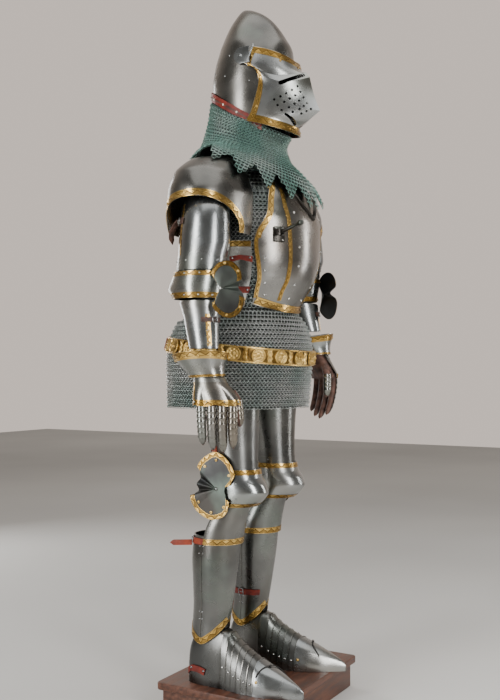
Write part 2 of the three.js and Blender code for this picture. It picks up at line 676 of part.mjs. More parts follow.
// A point on a finger: along it from the knuckle, and round it from the back of the hand.
function onFinger(arm, finger, along, radius, degrees) {
  const t = radians(degrees);
  const curl = -BEND * along * along;
  const lean = finger.across * (1 - along * 0.0004);
  return onHand(arm, lean + 4 + radius * Math.sin(t), 4 + curl + radius * Math.cos(t), -14 - along);
}

// The scales over one finger.
function fingerPlate(arm, finger, name) {
  const shares = [0, 0.35, 0.72, 1];
  const radii = [0.5, 0.49, 0.46, 0.27];
  const rows = shares.map((share, i) =>
    spread(-80, 80, 4).map((a) => onFinger(arm, finger, share * finger.length, radii[i] * finger.width + 1.6, a)),
  );
  const centres = shares.map((share) => onFinger(arm, finger, share * finger.length, 6, 180));
  addPiece(suit, name, wall(rows, THIN_STEEL, false, centres), "steel");
}

// The thumb lies forward of the palm and points down.
function onThumb(arm, along, radius, degrees) {
  const t = radians(degrees);
  const across = 52 + along * 0.1 + radius * Math.cos(t) * 0.9;
  return onHand(arm, across, -27 - along * 0.1 + radius * Math.sin(t), 2 - along + radius * Math.cos(t) * 0.2);
}

function thumbPlate(arm, name) {
  const shares = [4, 28, 50, 66];
  const radii = [13.5, 13, 12, 6.5];
  const rows = shares.map((along, i) => spread(-75, 75, 4).map((a) => onThumb(arm, along, radii[i] + 1.6, a)));
  const centres = shares.map((along) => onThumb(arm, along, 8, 180));
  addPiece(suit, name, wall(rows, THIN_STEEL, false, centres), "steel");
}

// A closed pod of leather through rings, as one finger of the glove or its palm.
function pod(rings) {
  const columns = rings[0].length;
  const points = rings.flat();
  const triangles = [];
  rings.slice(1).forEach((_, i) => {
    for (let j = 0; j < columns; j++) {
      const a = i * columns + j;
      const b = i * columns + ((j + 1) % columns);
      triangles.push([a, b, b + columns], [a, b + columns, a + columns]);
    }
  });
  const last = (rings.length - 1) * columns;
  for (let j = 1; j + 1 < columns; j++) {
    triangles.push([0, j + 1, j]);
    triangles.push([last, last + j, last + j + 1]);
  }
  return closedGeometry(points, triangles);
}

// The glove under the plates: the space inside it is taken out of it, and its wrist is open.
function glove(arm, name) {
  const fingerPod = (finger, less) => {
    const shares = [-8 + less, 0.4 * finger.length, 0.8 * finger.length, finger.length + 4 - less];
    const radii = [0.42, 0.42, 0.36, 0.15];
    const ring = (along, i) => around(6).map((a) => onFinger(arm, finger, along, radii[i] * finger.width - less, a));
    return pod(shares.map(ring));
  };
  const thumbPod = (less) => {
    const shares = [-8 + less, 36, 60, 71 - less];
    const radii = [11.5, 11.5, 9.5, 5];
    return pod(shares.map((along, i) => around(6).map((a) => onThumb(arm, along, radii[i] - less, a))));
  };
  const palmPod = (less, top) => {
    const lines = [
      { up: top, half: 28, thick: 25 },
      { up: 20, half: 46, thick: 18 },
      { up: -12 + less, half: 51, thick: 9 },
    ];
    return pod(
      lines.map((l) =>
        around(12).map((a) => {
          const t = radians(a);
          return onHand(arm, 4 + (l.half - less) * Math.sin(t), -6 + (l.thick - less) * Math.cos(t), l.up);
        }),
      ),
    );
  };
  const join = (less, top) => {
    const pods = [...FINGERS.map((finger) => fingerPod(finger, less)), thumbPod(less)];
    return pods.reduce((sum, part) => sum.add(solid(part)), solid(palmPod(less, top)));
  };
  const made = join(0, 62).subtract(join(GLOVE, 80));
  const bodies = made.decompose().sort((a, b) => b.volume() - a.volume());
  addPiece(suit, name, geometryOf(bodies[0]), "brown_leather");
}

function armPieces(side) {
  const arm = ARMS[side];
  spaulder(arm, `spaulder_${side}`);
  upperCannon(arm, `upper_cannon_${side}`);
  couter(arm, `couter_${side}`);
  couterWing(arm, `couter_wing_${side}`);
  lowerCannon(arm, `lower_cannon_${side}`);
  cuff(arm, `gauntlet_cuff_${side}`);
  handPlate(arm, `hand_plate_${side}`);
  FINGERS.forEach((finger) => fingerPlate(arm, finger, `${finger.name}_finger_${side}`));
  thumbPlate(arm, `thumb_${side}`);
  glove(arm, `glove_${side}`);
}

// ---------------------------------------------------------------- legs

const LEGS = {
  right: { hand: RIGHT, out: 111, splay: 0 },
  left: { hand: LEFT, out: 100, splay: 0.225 },
};

function cuisse(leg, name) {
  const sections = [
    { z: 800, out: leg.out, y: 0, side: 76, front: 78, back: 78 },
    { z: 735, out: leg.out, y: -3, side: 70, front: 72, back: 72 },
    { z: 662, out: leg.out, y: -8, side: 62, front: 64, back: 64 },
    { z: 600, out: leg.out, y: -13, side: 57, front: 59, back: 59 },
    { z: 566, out: leg.out, y: -15, side: 56, front: 57, back: 57 },
  ];
  addPiece(suit, name, tube(sections, 16, STEEL, leg.hand), "steel");
}

function poleyn(leg, name) {
  const sections = [
    { z: 588, out: leg.out, y: -15, side: 61, front: 63, back: 61 },
    { z: 566, out: leg.out, y: -17, side: 62, front: 68, back: 61 },
    { z: 546, out: leg.out, y: -20, side: 62, front: 80, back: 61 },
    { z: 526, out: leg.out, y: -20, side: 61, front: 86, back: 60 },
    { z: 506, out: leg.out, y: -16, side: 60, front: 77, back: 60 },
    { z: 488, out: leg.out, y: -6, side: 58, front: 66, back: 60 },
  ];
  addPiece(suit, name, shield(sections, -112, 112, 14, STEEL, leg.hand), "steel");
}

const POLEYN_WING = [
  [47, 43], [40, 60], [26, 74], [1, 85], [-26, 67], [-42, 30], [-36, 0], [-24, -27], [-15, -57], [15, -69], [50, -50],
  [63, -19], [55, -6], [56, 12], [50, 26],
];
const POLEYN_PLEAT = [2, 2, 1, 0, 0, 0, 0, 0, 0, 0, 1, 3, -7, 4, -7];

function poleynWing(leg, name) {
  const rivet = point(leg.hand * (leg.out + 72), 6, 537);
  const across = point(leg.hand * 0.1, 0.995, 0);
  const out = point(leg.hand * 0.995, -0.1, 0);
  wing(POLEYN_WING, rivet, across, out, POLEYN_PLEAT, STEEL, name);
}

const GREAVE = [
  { z: 100, y: 70, side: 43, front: 57, back: 58 },
  { z: 160, y: 67, side: 42, front: 53, back: 55 },
  { z: 210, y: 61, side: 45, front: 56, back: 57 },
  { z: 274, y: 56, side: 53, front: 61, back: 62 },
  { z: 357, y: 50, side: 61, front: 66, back: 68 },
  { z: 407, y: 44, side: 61, front: 65, back: 66 },
];

// The greave's foot dips over each ankle bone and rises in front in a V.
const GREAVE_FOOT = [[0, 173], [30, 152], [60, 130], [95, 112], [140, 130], [180, 152]];

function greave(leg, name) {
  const table = GREAVE.map((s) => ({ ...s, out: leg.out }));
  const foot = (a) => follow(GREAVE_FOOT, turned(a));
  addPiece(suit, name, shaped(table, around(16), [0, 0.15, 0.35, 0.6, 0.82, 1], foot, () => 407, STEEL, true, leg.hand), "steel");
}

// The demi-greave hangs below the knee cup, over the top of the greave.
function demiGreave(leg, name) {
  const sections = [
    { z: 500, out: leg.out, y: 4, side: 48, front: 57, back: 50 },
    { z: 462, out: leg.out, y: 24, side: 59, front: 64, back: 60 },
    { z: 420, out: leg.out, y: 40, side: 66, front: 70, back: 66 },
    { z: 385, out: leg.out, y: 47, side: 67, front: 72, back: 70 },
  ];
  addPiece(suit, name, shield(sections, -95, 95, 12, STEEL, leg.hand), "steel");
}

// The foot's cross-sections from heel to toe: each is an arch over the sole.
const FOOT = [
  { y: 130, half: 15, high: 72, boxy: 0.7 },
  { y: 121, half: 28, high: 108, boxy: 0.6 },
  { y: 104, half: 35, high: 134, boxy: 0.55 },
  { y: 64, half: 39, high: 150, boxy: 0.35 },
  { y: 26, half: 39, high: 152, boxy: 0.6 },
  { y: 4, half: 42, high: 158, boxy: 0.85 },
  { y: -24, half: 46, high: 124, boxy: 0.85 },
  { y: -58, half: 50, high: 103, boxy: 0.85 },
  { y: -90, half: 50, high: 86, boxy: 0.85 },
];
const TOE = [
  { y: -90.6, half: 50, high: 86, boxy: 0.85 },
  { y: -118, half: 46, high: 73, boxy: 0.85 },
  { y: -150, half: 36, high: 58, boxy: 0.9 },
  { y: -182, half: 20, high: 41, boxy: 0.9 },
  { y: -206, half: 8, high: 27, boxy: 1 },
  { y: -214, half: 3, high: 19, boxy: 1 },
];
const SOLE_GAP = 0.6; // the plates stop just above the board

// A splayed foot's middle line runs outwards from the ankle to the toe.
const footLine = (leg, y) => leg.out + leg.splay * Math.max(20 - y, 0);

function footPoint(leg, s, degrees) {
  const a = radians(degrees);
  const across = Math.sign(a) * Math.abs(Math.sin(a)) ** s.boxy * s.half;
  const up = SOLE_GAP + Math.max(Math.cos(a), 0) ** s.boxy * (s.high - SOLE_GAP);
  return point(leg.hand * (footLine(leg, s.y) + across), s.y, Math.abs(degrees) > 89.9 ? SOLE_GAP : up);
}

function footPlate(leg, stations, columns) {
  const rows = stations.map((s) => spread(-90, 90, columns).map((a) => footPoint(leg, s, a)));
  const centres = stations.map((s) => point(leg.hand * footLine(leg, s.y), s.y + (s.y > 100 ? -40 : 10), s.high * 0.2));
  return wall(rows, STEEL, false, centres);
}

function sabaton(leg, name) {
  const upper = footPlate(leg, FOOT, 10);
  const ankle = new THREE.CylinderGeometry(35, 31, 120, 12).rotateX(Math.PI / 2).scale(1, 1.26, 1);
  ankle.translate(leg.hand * leg.out, 64, 128);
  addPiece(suit, name, cut(upper, ankle), "steel");
}

function toeCap(leg, name) {
  addPiece(suit, name, footPlate(leg, TOE, 10), "steel");
}

// The lace that holds the toe cap: out of the ring by the ball of the foot, over the ridge, and free.
const LACE = 2.4;

function toeLace(leg, name) {
  const stations = [[-96, 58], [-104, 40], [-112, 22], [-120, 4], [-127, -12], [-136, -26], [-146, -38], [-152, -50]];
  const path = stations.map(([y, a]) => {
    const s = at(TOE.map((t) => ({ ...t, z: -t.y })), -y);
    const p = footPoint(leg, { ...s, y }, a);
    const out = point(p.x - leg.hand * footLine(leg, y), 0, p.z).normalize();
    return p.addScaledVector(out, LACE / 2 + 1.6);
  });
  const section = new THREE.Shape().absarc(0, 0, LACE / 2, 0, 2 * Math.PI);
  const route = new THREE.CatmullRomCurve3(path);
  const lace = new THREE.ExtrudeGeometry(section, { steps: 16, extrudePath: route, curveSegments: 3 });
  addPiece(suit, name, lace, "black_lace");
}

function legPieces(side) {
  const leg = LEGS[side];
  cuisse(leg, `cuisse_${side}`);
  poleyn(leg, `poleyn_${side}`);
  poleynWing(leg, `poleyn_wing_${side}`);
  demiGreave(leg, `demi_greave_${side}`);
  greave(leg, `greave_${side}`);
  sabaton(leg, `sabaton_${side}`);
  toeCap(leg, `toe_cap_${side}`);
  toeLace(leg, `toe_lace_${side}`);
}

// ---------------------------------------------------------------- plinth

function roundedBoard(width, depth, corner) {
  const x = width / 2;
  const y = depth / 2;
  const outline = new THREE.Shape();
  outline.absarc(x - corner, y - corner, corner, 0, Math.PI / 2);
  outline.absarc(-x + corner, y - corner, corner, Math.PI / 2, Math.PI);
  outline.absarc(-x + corner, -y + corner, corner, Math.PI, 1.5 * Math.PI);
  outline.absarc(x - corner, -y + corner, corner, 1.5 * Math.PI, 2 * Math.PI);
  return outline;
}

function plinth() {
  const board = new THREE.ExtrudeGeometry(roundedBoard(BOARD_WIDTH, BOARD_DEPTH, BOARD_CORNER), {
    depth: BOARD_THICKNESS,
    bevelEnabled: false,
    curveSegments: 4,
  });
  board.translate(PLINTH_X, PLINTH_Y + SHIFT_Y, PLINTH_HEIGHT - BOARD_THICKNESS);
  addPiece(object, "plinth_board", board, "wood");
  const high = PLINTH_HEIGHT - BOARD_THICKNESS - GAP;
  const box = new THREE.BoxGeometry(BOARD_WIDTH - 2 * BOARD_OVERHANG, BOARD_DEPTH - 2 * BOARD_OVERHANG, high);
  box.translate(PLINTH_X, PLINTH_Y + SHIFT_Y, high / 2);
  addPiece(object, "plinth_box", box, "wood");
}

skull();
helmetStrip();
visor();
visorArm(RIGHT, "visor_arm_right");
visorArm(LEFT, "visor_arm_left");
aventail();
breastplate();
backplate();
hauberk();
plaqueBelt();
stopRib();
lanceRest();
sideStrap(RIGHT, "side_strap_right");
sideStrap(LEFT, "side_strap_left");
armPieces("right");
armPieces("left");
legPieces("right");
legPieces("left");
plinth();

export default object;
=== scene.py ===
"""A late fourteenth century harness of plate and mail, standing empty on a wooden plinth."""

from collections import namedtuple
from functools import lru_cache, partial
from math import atan2, copysign, cos, hypot, pi, radians, sin, sqrt

import bmesh
import bpy
import numpy as np
from mathutils import Matrix, Vector


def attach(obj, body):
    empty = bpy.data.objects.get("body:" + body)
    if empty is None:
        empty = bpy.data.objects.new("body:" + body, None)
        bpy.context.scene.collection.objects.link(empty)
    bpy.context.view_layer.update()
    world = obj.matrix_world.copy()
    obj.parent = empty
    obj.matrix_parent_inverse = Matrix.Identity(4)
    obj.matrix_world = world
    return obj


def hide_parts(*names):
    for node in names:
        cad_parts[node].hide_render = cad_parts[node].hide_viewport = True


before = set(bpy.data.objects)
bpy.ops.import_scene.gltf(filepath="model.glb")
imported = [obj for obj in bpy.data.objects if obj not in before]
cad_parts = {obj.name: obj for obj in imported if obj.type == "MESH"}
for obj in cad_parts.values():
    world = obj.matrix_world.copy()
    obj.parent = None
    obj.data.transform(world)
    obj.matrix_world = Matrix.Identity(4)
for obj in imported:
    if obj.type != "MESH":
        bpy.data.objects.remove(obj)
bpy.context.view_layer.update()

# ------------------------------------------------------------------ driving dimensions, in millimetres
MM = 0.001
PLINTH_HEIGHT = 90
BOARD_THICKNESS = 20
BOARD_WIDTH = 496
BOARD_DEPTH = 378
BOARD_OVERHANG = 14
BOARD_CORNER = 14
PLINTH_X = 58
PLINTH_Y = 8
SHIFT_Y = -6

# walls
STEEL = 2.0
THIN_STEEL = 1.5  # the gauntlets
LAME = 1.2
SEAM = 0.8  # the overlapping edge of a plate
BRASS = 0.9  # the bands
THIN_BRASS = 0.8
LEATHER = 2.4

RING_PITCH = 10.8  # from one mail ring to the next in its row
ROW_PITCH = RING_PITCH * 0.535
RING_RADIUS = RING_PITCH * 0.63
RING_TIP = 26  # how far each row tips against the next, in degrees
RINGS_IN_A_PIECE = 4000

RIGHT = -1
LEFT = 1
SIDES = ((RIGHT, "right"), (LEFT, "left"))
UP = Vector((0, 0, 1))


def place(x, y, z):
    """A point of the figure, from millimetres above the plinth to metres in the whole object's frame."""
    return Vector((x * MM, (y + SHIFT_Y) * MM, (z + PLINTH_HEIGHT) * MM))


# ------------------------------------------------------------------ smooth sections
Section = namedtuple("Section", "z out y side front back lean square roll", defaults=(0, 2, 0))


def curve(points, x):
    """Reads a smooth curve through points of (input, output), whose inputs rise."""
    if x <= points[0][0]:
        return points[0][1]
    if x >= points[-1][0]:
        return points[-1][1]
    i = next(k for k in range(len(points) - 1) if x <= points[k + 1][0])
    x0, y0 = points[i]
    x1, y1 = points[i + 1]

    def slope(k):
        if k <= 0 or k >= len(points) - 1:
            return None
        left = (points[k][1] - points[k - 1][1]) / (points[k][0] - points[k - 1][0])
        right = (points[k + 1][1] - points[k][1]) / (points[k + 1][0] - points[k][0])
        if left * right <= 0:
            return 0
        return 2 * left * right / (left + right)

    straight = (y1 - y0) / (x1 - x0)
    first, last = slope(i), slope(i + 1)
    if first is None:
        first = straight if last is None else 1.5 * straight - 0.5 * last
    if last is None:
        last = 1.5 * straight - 0.5 * first
    t = (x - x0) / (x1 - x0)
    wide = x1 - x0
    return (
        (2 * t**3 - 3 * t**2 + 1) * y0
        + (t**3 - 2 * t**2 + t) * wide * first
        + (3 * t**2 - 2 * t**3) * y1
        + (t**3 - t**2) * wide * last
    )


@lru_cache(maxsize=None)
def section(table, z):
    """The section of a table at a height, smoothly between its lines."""
    fields = [curve([(s.z, getattr(s, f)) for s in table], z) for f in Section._fields[1:]]
    return Section(z, *fields)


def power(value, exponent):
    return (1 if value >= 0 else -1) * abs(value) ** exponent


def on(table, angle, z, hand=LEFT, lift=0.0):
    """A point of a tube of sections: angle 0 is the front and 90 the outside, lift is outwards."""
    s = section(table, round(z, 3))
    a = radians(angle)
    p = 2 / s.square
    dx = (s.side + lift) * power(sin(a), p)
    dy = -((s.front if cos(a) > 0 else s.back) + lift) * power(cos(a), p)
    return place(hand * (s.out + dx), s.y + dy, s.z + s.lean * dy + s.roll * dx)


def tube_of(table, hand=LEFT):
    """The surface of a table, as a function of angle, height and lift."""
    return lambda angle, z, lift=0.0: on(table, angle, z, hand, lift)


def outward(surface, a, b, centre):
    """The unit normal of a surface at a place, away from a point inside."""
    p = surface(a, b)
    across = surface(a + 0.5, b) - p
    along = surface(a, b + 0.5) - p
    n = across.cross(along).normalized()
    return n if n.dot(p - centre) > 0 else -n


def mix(a, b, t):
    return a + (b - a) * t


def turned(angle):
    angle = angle % 360
    return 360 - angle if angle > 180 else angle


# ------------------------------------------------------------------ making pieces
def add_object(name, data):
    made = bpy.data.objects.new(name, data)
    bpy.context.scene.collection.objects.link(made)
    return made


def finish_mesh(bm, name, material, sharp=36):
    """Makes an object of a bmesh, smooth but for its sharp edges."""
    bm.normal_update()
    for face in bm.faces:
        face.smooth = True
    for edge in bm.edges:
        if len(edge.link_faces) == 2:
            edge.smooth = edge.calc_face_angle() < radians(sharp)
    mesh = bpy.data.meshes.new(name)
    bm.to_mesh(mesh)
    bm.free()
    mesh.materials.append(material)
    return add_object(name, mesh)


def belongs(piece, body, slot, *nodes):
    """Says what a piece moves with and which solids it stands for; slot, what it is made of, is not used."""
    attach(piece, body)
    if nodes:
        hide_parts(*nodes)
    return piece


def slot_of(material):
    """The finish that a strap, a band, a lame or a rivet takes, from its material's name."""
    if "brass" in material.name:
        return "brass"
    if "leather" in material.name:
        return "brown_leather" if "dark" in material.name else "red_leather"
    return "steel"


def edges_of(bm, verts):
    """The edges at some vertices, always in the same order."""
    bm.edges.index_update()
    return sorted({e for v in verts for e in v.link_edges}, key=lambda e: e.index)


def net(columns, rows, spot, inside, wall, closed=False):
    """A wall bent from a flat grid: spot(u, v) gives its outer face, and inside is a point within it."""
    bm = bmesh.new()
    bm.loops.layers.uv.new("UVMap")
    bmesh.ops.create_grid(bm, x_segments=columns, y_segments=rows, size=0.5, calc_uvs=True)
    bm.faces.ensure_lookup_table()
    for vert in bm.verts:
        u, v = vert.co.x + 0.5, vert.co.y + 0.5
        vert.co = spot(u, v)
    if closed:
        bmesh.ops.remove_doubles(bm, verts=bm.verts, dist=1e-6)
    bm.normal_update()
    outwards = sum(f.normal.dot(f.calc_center_median() - inside) * f.calc_area() for f in bm.faces)
    if outwards < 0:
        bmesh.ops.reverse_faces(bm, faces=bm.faces)
        bm.normal_update()
    scale_uv(bm, columns, rows, spot)
    if wall:
        bmesh.ops.solidify(bm, geom=bm.faces[:], thickness=wall * MM)
    return bm


def scale_uv(bm, columns, rows, spot):
    """Makes the map's units centimetres, so that a pattern on it keeps its real size."""
    walk = [spot(i / columns, 0.5) for i in range(columns + 1)]
    climb = [spot(0.5, j / rows) for j in range(rows + 1)]
    long = sum((b - a).length for a, b in zip(walk, walk[1:])) * 100
    high = sum((b - a).length for a, b in zip(climb, climb[1:])) * 100
    layer = bm.loops.layers.uv.active
    for face in bm.faces:
        for loop in face.loops:
            uv = loop[layer].uv
            loop[layer].uv = (uv.x * long, uv.y * high)


def shell(name, table, angles, foot, top, material, hand=LEFT, wall=STEEL, columns=48, rows=24, lift=0.0,
          node=None):
    """A plate over part of a table, or all round it, between a lower and an upper edge."""
    first, last = angles
    centre_height = (foot(first) + top(first)) / 2
    middle = section(table, centre_height)
    inside = place(hand * middle.out, middle.y, centre_height)

    def spot(u, v):
        a = mix(first, last, u)
        return on(table, a, mix(foot(a), top(a), v), hand, lift)

    bm = net(columns, rows, spot, inside, wall, closed=last - first >= 360)
    nodes = [node] if node else []
    return belongs(finish_mesh(bm, name, material), "harness", slot_of(material), *nodes)


def level(z):
    """An edge that stays at one height."""
    return lambda angle: z


def strip(name, surface, line, width, material, inside, wall=BRASS, lift=0.2, steps=60, closed=False,
          across=3, body="harness"):
    """A strip bent over a surface along a line of places, its breadth to the line's left."""

    def spot(u, v):
        a, b = line(u)
        a0, b0 = line(max(u - 0.004, 0))
        a1, b1 = line(min(u + 0.004, 1))
        degree = (surface(a + 0.5, b) - surface(a - 0.5, b)).length / MM
        height = (surface(a, b + 0.5) - surface(a, b - 0.5)).length / MM
        da, db = (a1 - a0) * degree, (b1 - b0) * height
        long = hypot(da, db) or 1
        w = v * width
        return surface(a - w * db / long / degree, b + w * da / long / height, lift + wall)

    bm = net(steps, across, spot, inside, wall, closed)
    return belongs(finish_mesh(bm, name, material), body, slot_of(material))


def level_line(first, last, height):
    """A line at one height, from one angle to another."""
    return lambda t: (mix(first, last, t), height)


def upright_line(angle, low, high):
    """A line at one angle, from one height to another."""
    return lambda t: (angle, mix(low, high, t))


def along(*stops):
    """A line of places through stops of (a, b), run at an even pace."""
    gaps = [hypot(q[0] - p[0], q[1] - p[1]) for p, q in zip(stops, stops[1:])]
    total = sum(gaps)
    marks = [sum(gaps[:i]) / total for i in range(len(stops))]
    return lambda t: (
        curve([(m, s[0]) for m, s in zip(marks, stops)], t),
        curve([(m, s[1]) for m, s in zip(marks, stops)], t),
    )


def repeated(name, template, matrices, material):
    """One mesh of many copies of a small shape."""
    points = np.array([v.co[:] for v in template.verts])
    faces = np.array([[v.index for v in f.verts] for f in template.faces])
    template.free()
    turns = np.array([[list(row) for row in m] for m in matrices])
    moved = np.einsum("mij,pj->mpi", turns[:, :3, :3], points) + turns[:, None, :3, 3]
    index = (faces[None] + (np.arange(len(matrices)) * len(points))[:, None, None]).reshape(-1)
    sides = faces.shape[1]
    mesh = bpy.data.meshes.new(name)
    mesh.vertices.add(moved.shape[0] * moved.shape[1])
    mesh.vertices.foreach_set("co", moved.reshape(-1))
    mesh.loops.add(len(index))
    mesh.loops.foreach_set("vertex_index", index)
    mesh.polygons.add(len(index) // sides)
    mesh.polygons.foreach_set("loop_start", np.arange(0, len(index), sides))
    mesh.update(calc_edges=True)
    mesh.polygons.foreach_set("use_smooth", np.ones(len(mesh.polygons), dtype=bool))
    mesh.materials.append(material)
    return add_object(name, mesh)


def seat(spot, normal, size=1.0, height=1.0, lead=UP):
    """The matrix that sets a small shape, made on the XY plane, on a surface."""
    z = normal.normalized()
    x = lead.cross(z)
    x = x.normalized() if x.length > 1e-6 else Vector((1, 0, 0))
    y = z.cross(x)
    turn = Matrix((x * size, y * size, z * size * height)).transposed().to_4x4()
    turn.translation = spot
    return turn


def stud_shape(radius=1.0, rings=((1.0, 0.0), (0.86, 0.34), (0.5, 0.6), (0.0, 0.7)), sides=10):
    """A low round head through rings of (radius, height), closed underneath."""
    bm = bmesh.new()
    base = bmesh.ops.create_circle(bm, segments=sides, radius=radius * rings[0][0], cap_ends=False)["verts"]
    edges = edges_of(bm, base)
    for wide, high in rings[1:]:
        made = bmesh.ops.extrude_edge_only(bm, edges=edges)["geom"]
        verts = [g for g in made if isinstance(g, bmesh.types.BMVert)]
        edges = [g for g in made if isinstance(g, bmesh.types.BMEdge)]
        for vert in verts:
            flat = Vector((vert.co.x, vert.co.y, 0))
            flat = flat.normalized() * radius * max(wide, 0.04)
            vert.co = Vector((flat.x, flat.y, radius * high))
    bmesh.ops.recalc_face_normals(bm, faces=bm.faces)
    if sum(f.normal.z for f in bm.faces) < 0:
        bmesh.ops.reverse_faces(bm, faces=bm.faces)
    bm.verts.index_update()
    return bm


def rivets_at(name, seats, material, body="harness", shape=stud_shape):
    return belongs(repeated(name, shape(), seats, material), body, slot_of(material))


def rivets(name, surface, spots, inside, radius, lift, material, body="harness", shape=stud_shape):
    """Rivets at the given places of a surface, as one mesh."""
    seats = [seat(surface(a, b, lift), outward(surface, a, b, inside), radius * MM) for a, b in spots]
    return rivets_at(name, seats, material, body, shape)


def ring_rivet_shape():
    """A rivet's washer: a raised ring with the head inside it."""
    return stud_shape(1.0, ((1.0, 0.0), (1.0, 0.14), (0.78, 0.3), (0.62, 0.16), (0.42, 0.42),
            (0.0, 0.55)), 14)


def ring_rivets(name, surface, spots, inside, radius, lift=1.0, body="harness"):
    return rivets(name, surface, spots, inside, radius, lift, plaque_brass, body, ring_rivet_shape)


# ------------------------------------------------------------------ finishes
class Nodes:
    """A material's node tree, built a node at a time."""

    def __init__(self, name):
        self.material = bpy.data.materials.new(name)
        self.material.use_nodes = True
        self.tree = self.material.node_tree
        self.shader = self.tree.nodes["Principled BSDF"]

    def add(self, kind, settings=None, **inputs):
        node = self.tree.nodes.new("ShaderNode" + kind)
        for key, value in (settings or {}).items():
            setattr(node, key, value)
        for key, value in inputs.items():
            socket = node.inputs[int(key[1:])] if key[0] == "_" else node.inputs[key.replace("_", " ")]
            if isinstance(value, bpy.types.NodeSocket):
                self.tree.links.new(value, socket)
            else:
                socket.default_value = value
        return node

    def math(self, operation, *values, clamp=False):
        inputs = {f"_{i}": value for i, value in enumerate(values)}
        return self.add("Math", {"operation": operation, "use_clamp": clamp}, **inputs).outputs[0]

    def ramp(self, value, *stops):
        node = self.add("ValToRGB", _0=value)
        node.color_ramp.elements[0].position = stops[0][0]
        node.color_ramp.elements[0].color = (*stops[0][1], 1)
        node.color_ramp.elements[1].position = stops[-1][0]
        node.color_ramp.elements[1].color = (*stops[-1][1], 1)
        for position, color in stops[1:-1]:
            element = node.color_ramp.elements.new(position)
            element.color = (*color, 1)
        return node.outputs[0]

    def range(self, value, low, high, to_low, to_high):
        return self.add("MapRange", _0=value, _1=low, _2=high, _3=to_low, _4=to_high).outputs[0]

    def noise(self, scale, detail=4, stretch=(1, 1, 1), turn=(0, 0, 0), where="Object"):
        coords = self.add("TexCoord").outputs[where]
        mapped = self.add("Mapping", Vector=coords, Scale=stretch, Rotation=turn).outputs[0]
        return self.add("TexNoise", Vector=mapped, Scale=scale, Detail=detail).outputs[0]

    def blend(self, share, first, second, how="MIX"):
        node = self.add("Mix", {"data_type": "RGBA", "blend_type": how})
        for index, value in ((0, share), (6, first), (7, second)):
            if isinstance(value, bpy.types.NodeSocket):
                self.tree.links.new(value, node.inputs[index])
            else:
                node.inputs[index].default_value = value if index == 0 else (*value, 1)
        return node.outputs[2]

    def join(self, **inputs):
        for key, value in inputs.items():
            socket = self.shader.inputs[key.replace("_", " ")]
            if isinstance(value, bpy.types.NodeSocket):
                self.tree.links.new(value, socket)
            else:
                socket.default_value = value

    def bump(self, height, strength, distance):
        node = self.add("Bump", Height=height, Strength=strength, Distance=distance)
        for link in self.shader.inputs["Normal"].links:
            self.tree.links.new(link.from_socket, node.inputs["Normal"])
        self.join(Normal=node.outputs[0])


def polished_steel(name, dark, light, rough=(0.19, 0.32), tint=(0.30, 0.25, 0.18)):
    """Plate with slow waves from the hammer, fine scratches, and brown and green shades in its polish."""
    n = Nodes(name)
    base = n.ramp(n.noise(6, 3), (0.34, dark), (0.68, light))
    brown = n.range(n.noise(3.7, 4), 0.5, 0.72, 0.0, 0.55)
    green = n.range(n.noise(5.1, 4, turn=(0.9, 0.3, 0.5)), 0.54, 0.74, 0.0, 0.4)
    stained = n.blend(green, n.blend(brown, base, tint), (0.20, 0.27, 0.22))
    n.join(Base_Color=stained, Metallic=1.0)
    n.join(Roughness=n.range(n.noise(18, 5), 0.32, 0.7, rough[0], rough[1]))
    n.bump(n.noise(9, 2), 0.10, 0.006)
    n.bump(n.noise(420, 2), 0.03, 0.0003)
    return n.material


def engraved_brass(name, wide, shade=1.0):
    """Brass strip cut with a zigzag between two lines, dark on one side of it and leafy on the other."""
    n = Nodes(name)
    split = n.add("SeparateXYZ", Vector=n.add("TexCoord").outputs["UV"])
    run = split.outputs[0]
    over = n.math("DIVIDE", split.outputs[1], wide)
    wave = n.math("PINGPONG", n.math("DIVIDE", run, wide * 1.5), 0.5)
    peak = n.math("ADD", n.math("MULTIPLY", wave, 1.1), 0.22)
    zigzag = n.range(n.math("ABSOLUTE", n.math("SUBTRACT", over, peak)), 0.05, 0.1, 1.0, 0.0)
    border = n.math("ABSOLUTE", n.math("SUBTRACT", over, 0.5))
    lines = n.math("COMPARE", border, 0.36, 0.03)
    inner = n.math("LESS_THAN", border, 0.35)
    below = n.math("MULTIPLY", n.math("LESS_THAN", over, peak), inner)
    cuts = n.math("MAXIMUM", n.math("MAXIMUM", zigzag, lines), n.math("MULTIPLY", below, 0.55), clamp=True)
    # shade scales the brass's colour; below 1 it is painted shade, as on the wings
    low, high = [tuple(c * shade for c in color) for color in ((0.40, 0.24, 0.055), (0.66, 0.44, 0.14))]
    bright = n.ramp(n.noise(7, 2), (0.35, low), (0.65, high))
    n.join(Base_Color=n.blend(cuts, bright, (0.10, 0.05, 0.012)), Metallic=1.0)
    n.join(Roughness=n.range(cuts, 0, 1, 0.24, 0.5))
    n.bump(n.math("SUBTRACT", 1.0, cuts), 0.4, 0.0005)
    return n.material


def cast_brass(name, deep, bright):
    """The belt's cast plaques, a little worn."""
    n = Nodes(name)
    worn = n.noise(160, 3)
    grime = n.ramp(n.noise(30, 3), (0.38, deep), (0.6, bright))
    n.join(Base_Color=grime, Metallic=1.0, Roughness=n.range(worn, 0.3, 0.7, 0.24, 0.5))
    n.bump(worn, 0.3, 0.0006)
    return n.material


def strap_leather(name, deep, bright, rough=0.52):
    """Leather with a fine grain, darker in its pores and along its creases."""
    n = Nodes(name)
    coords = n.add("TexCoord").outputs["Object"]
    grain = n.add("TexVoronoi", Vector=coords, Scale=900.0).outputs["Distance"]
    shade = n.ramp(n.noise(55, 5), (0.36, deep), (0.64, bright))
    n.join(Base_Color=shade, Roughness=n.range(n.noise(90, 3), 0.3, 0.7, rough - 0.1, rough + 0.14))
    n.bump(grain, 0.35, 0.0004)
    n.bump(n.noise(70, 4), 0.3, 0.0012)
    return n.material


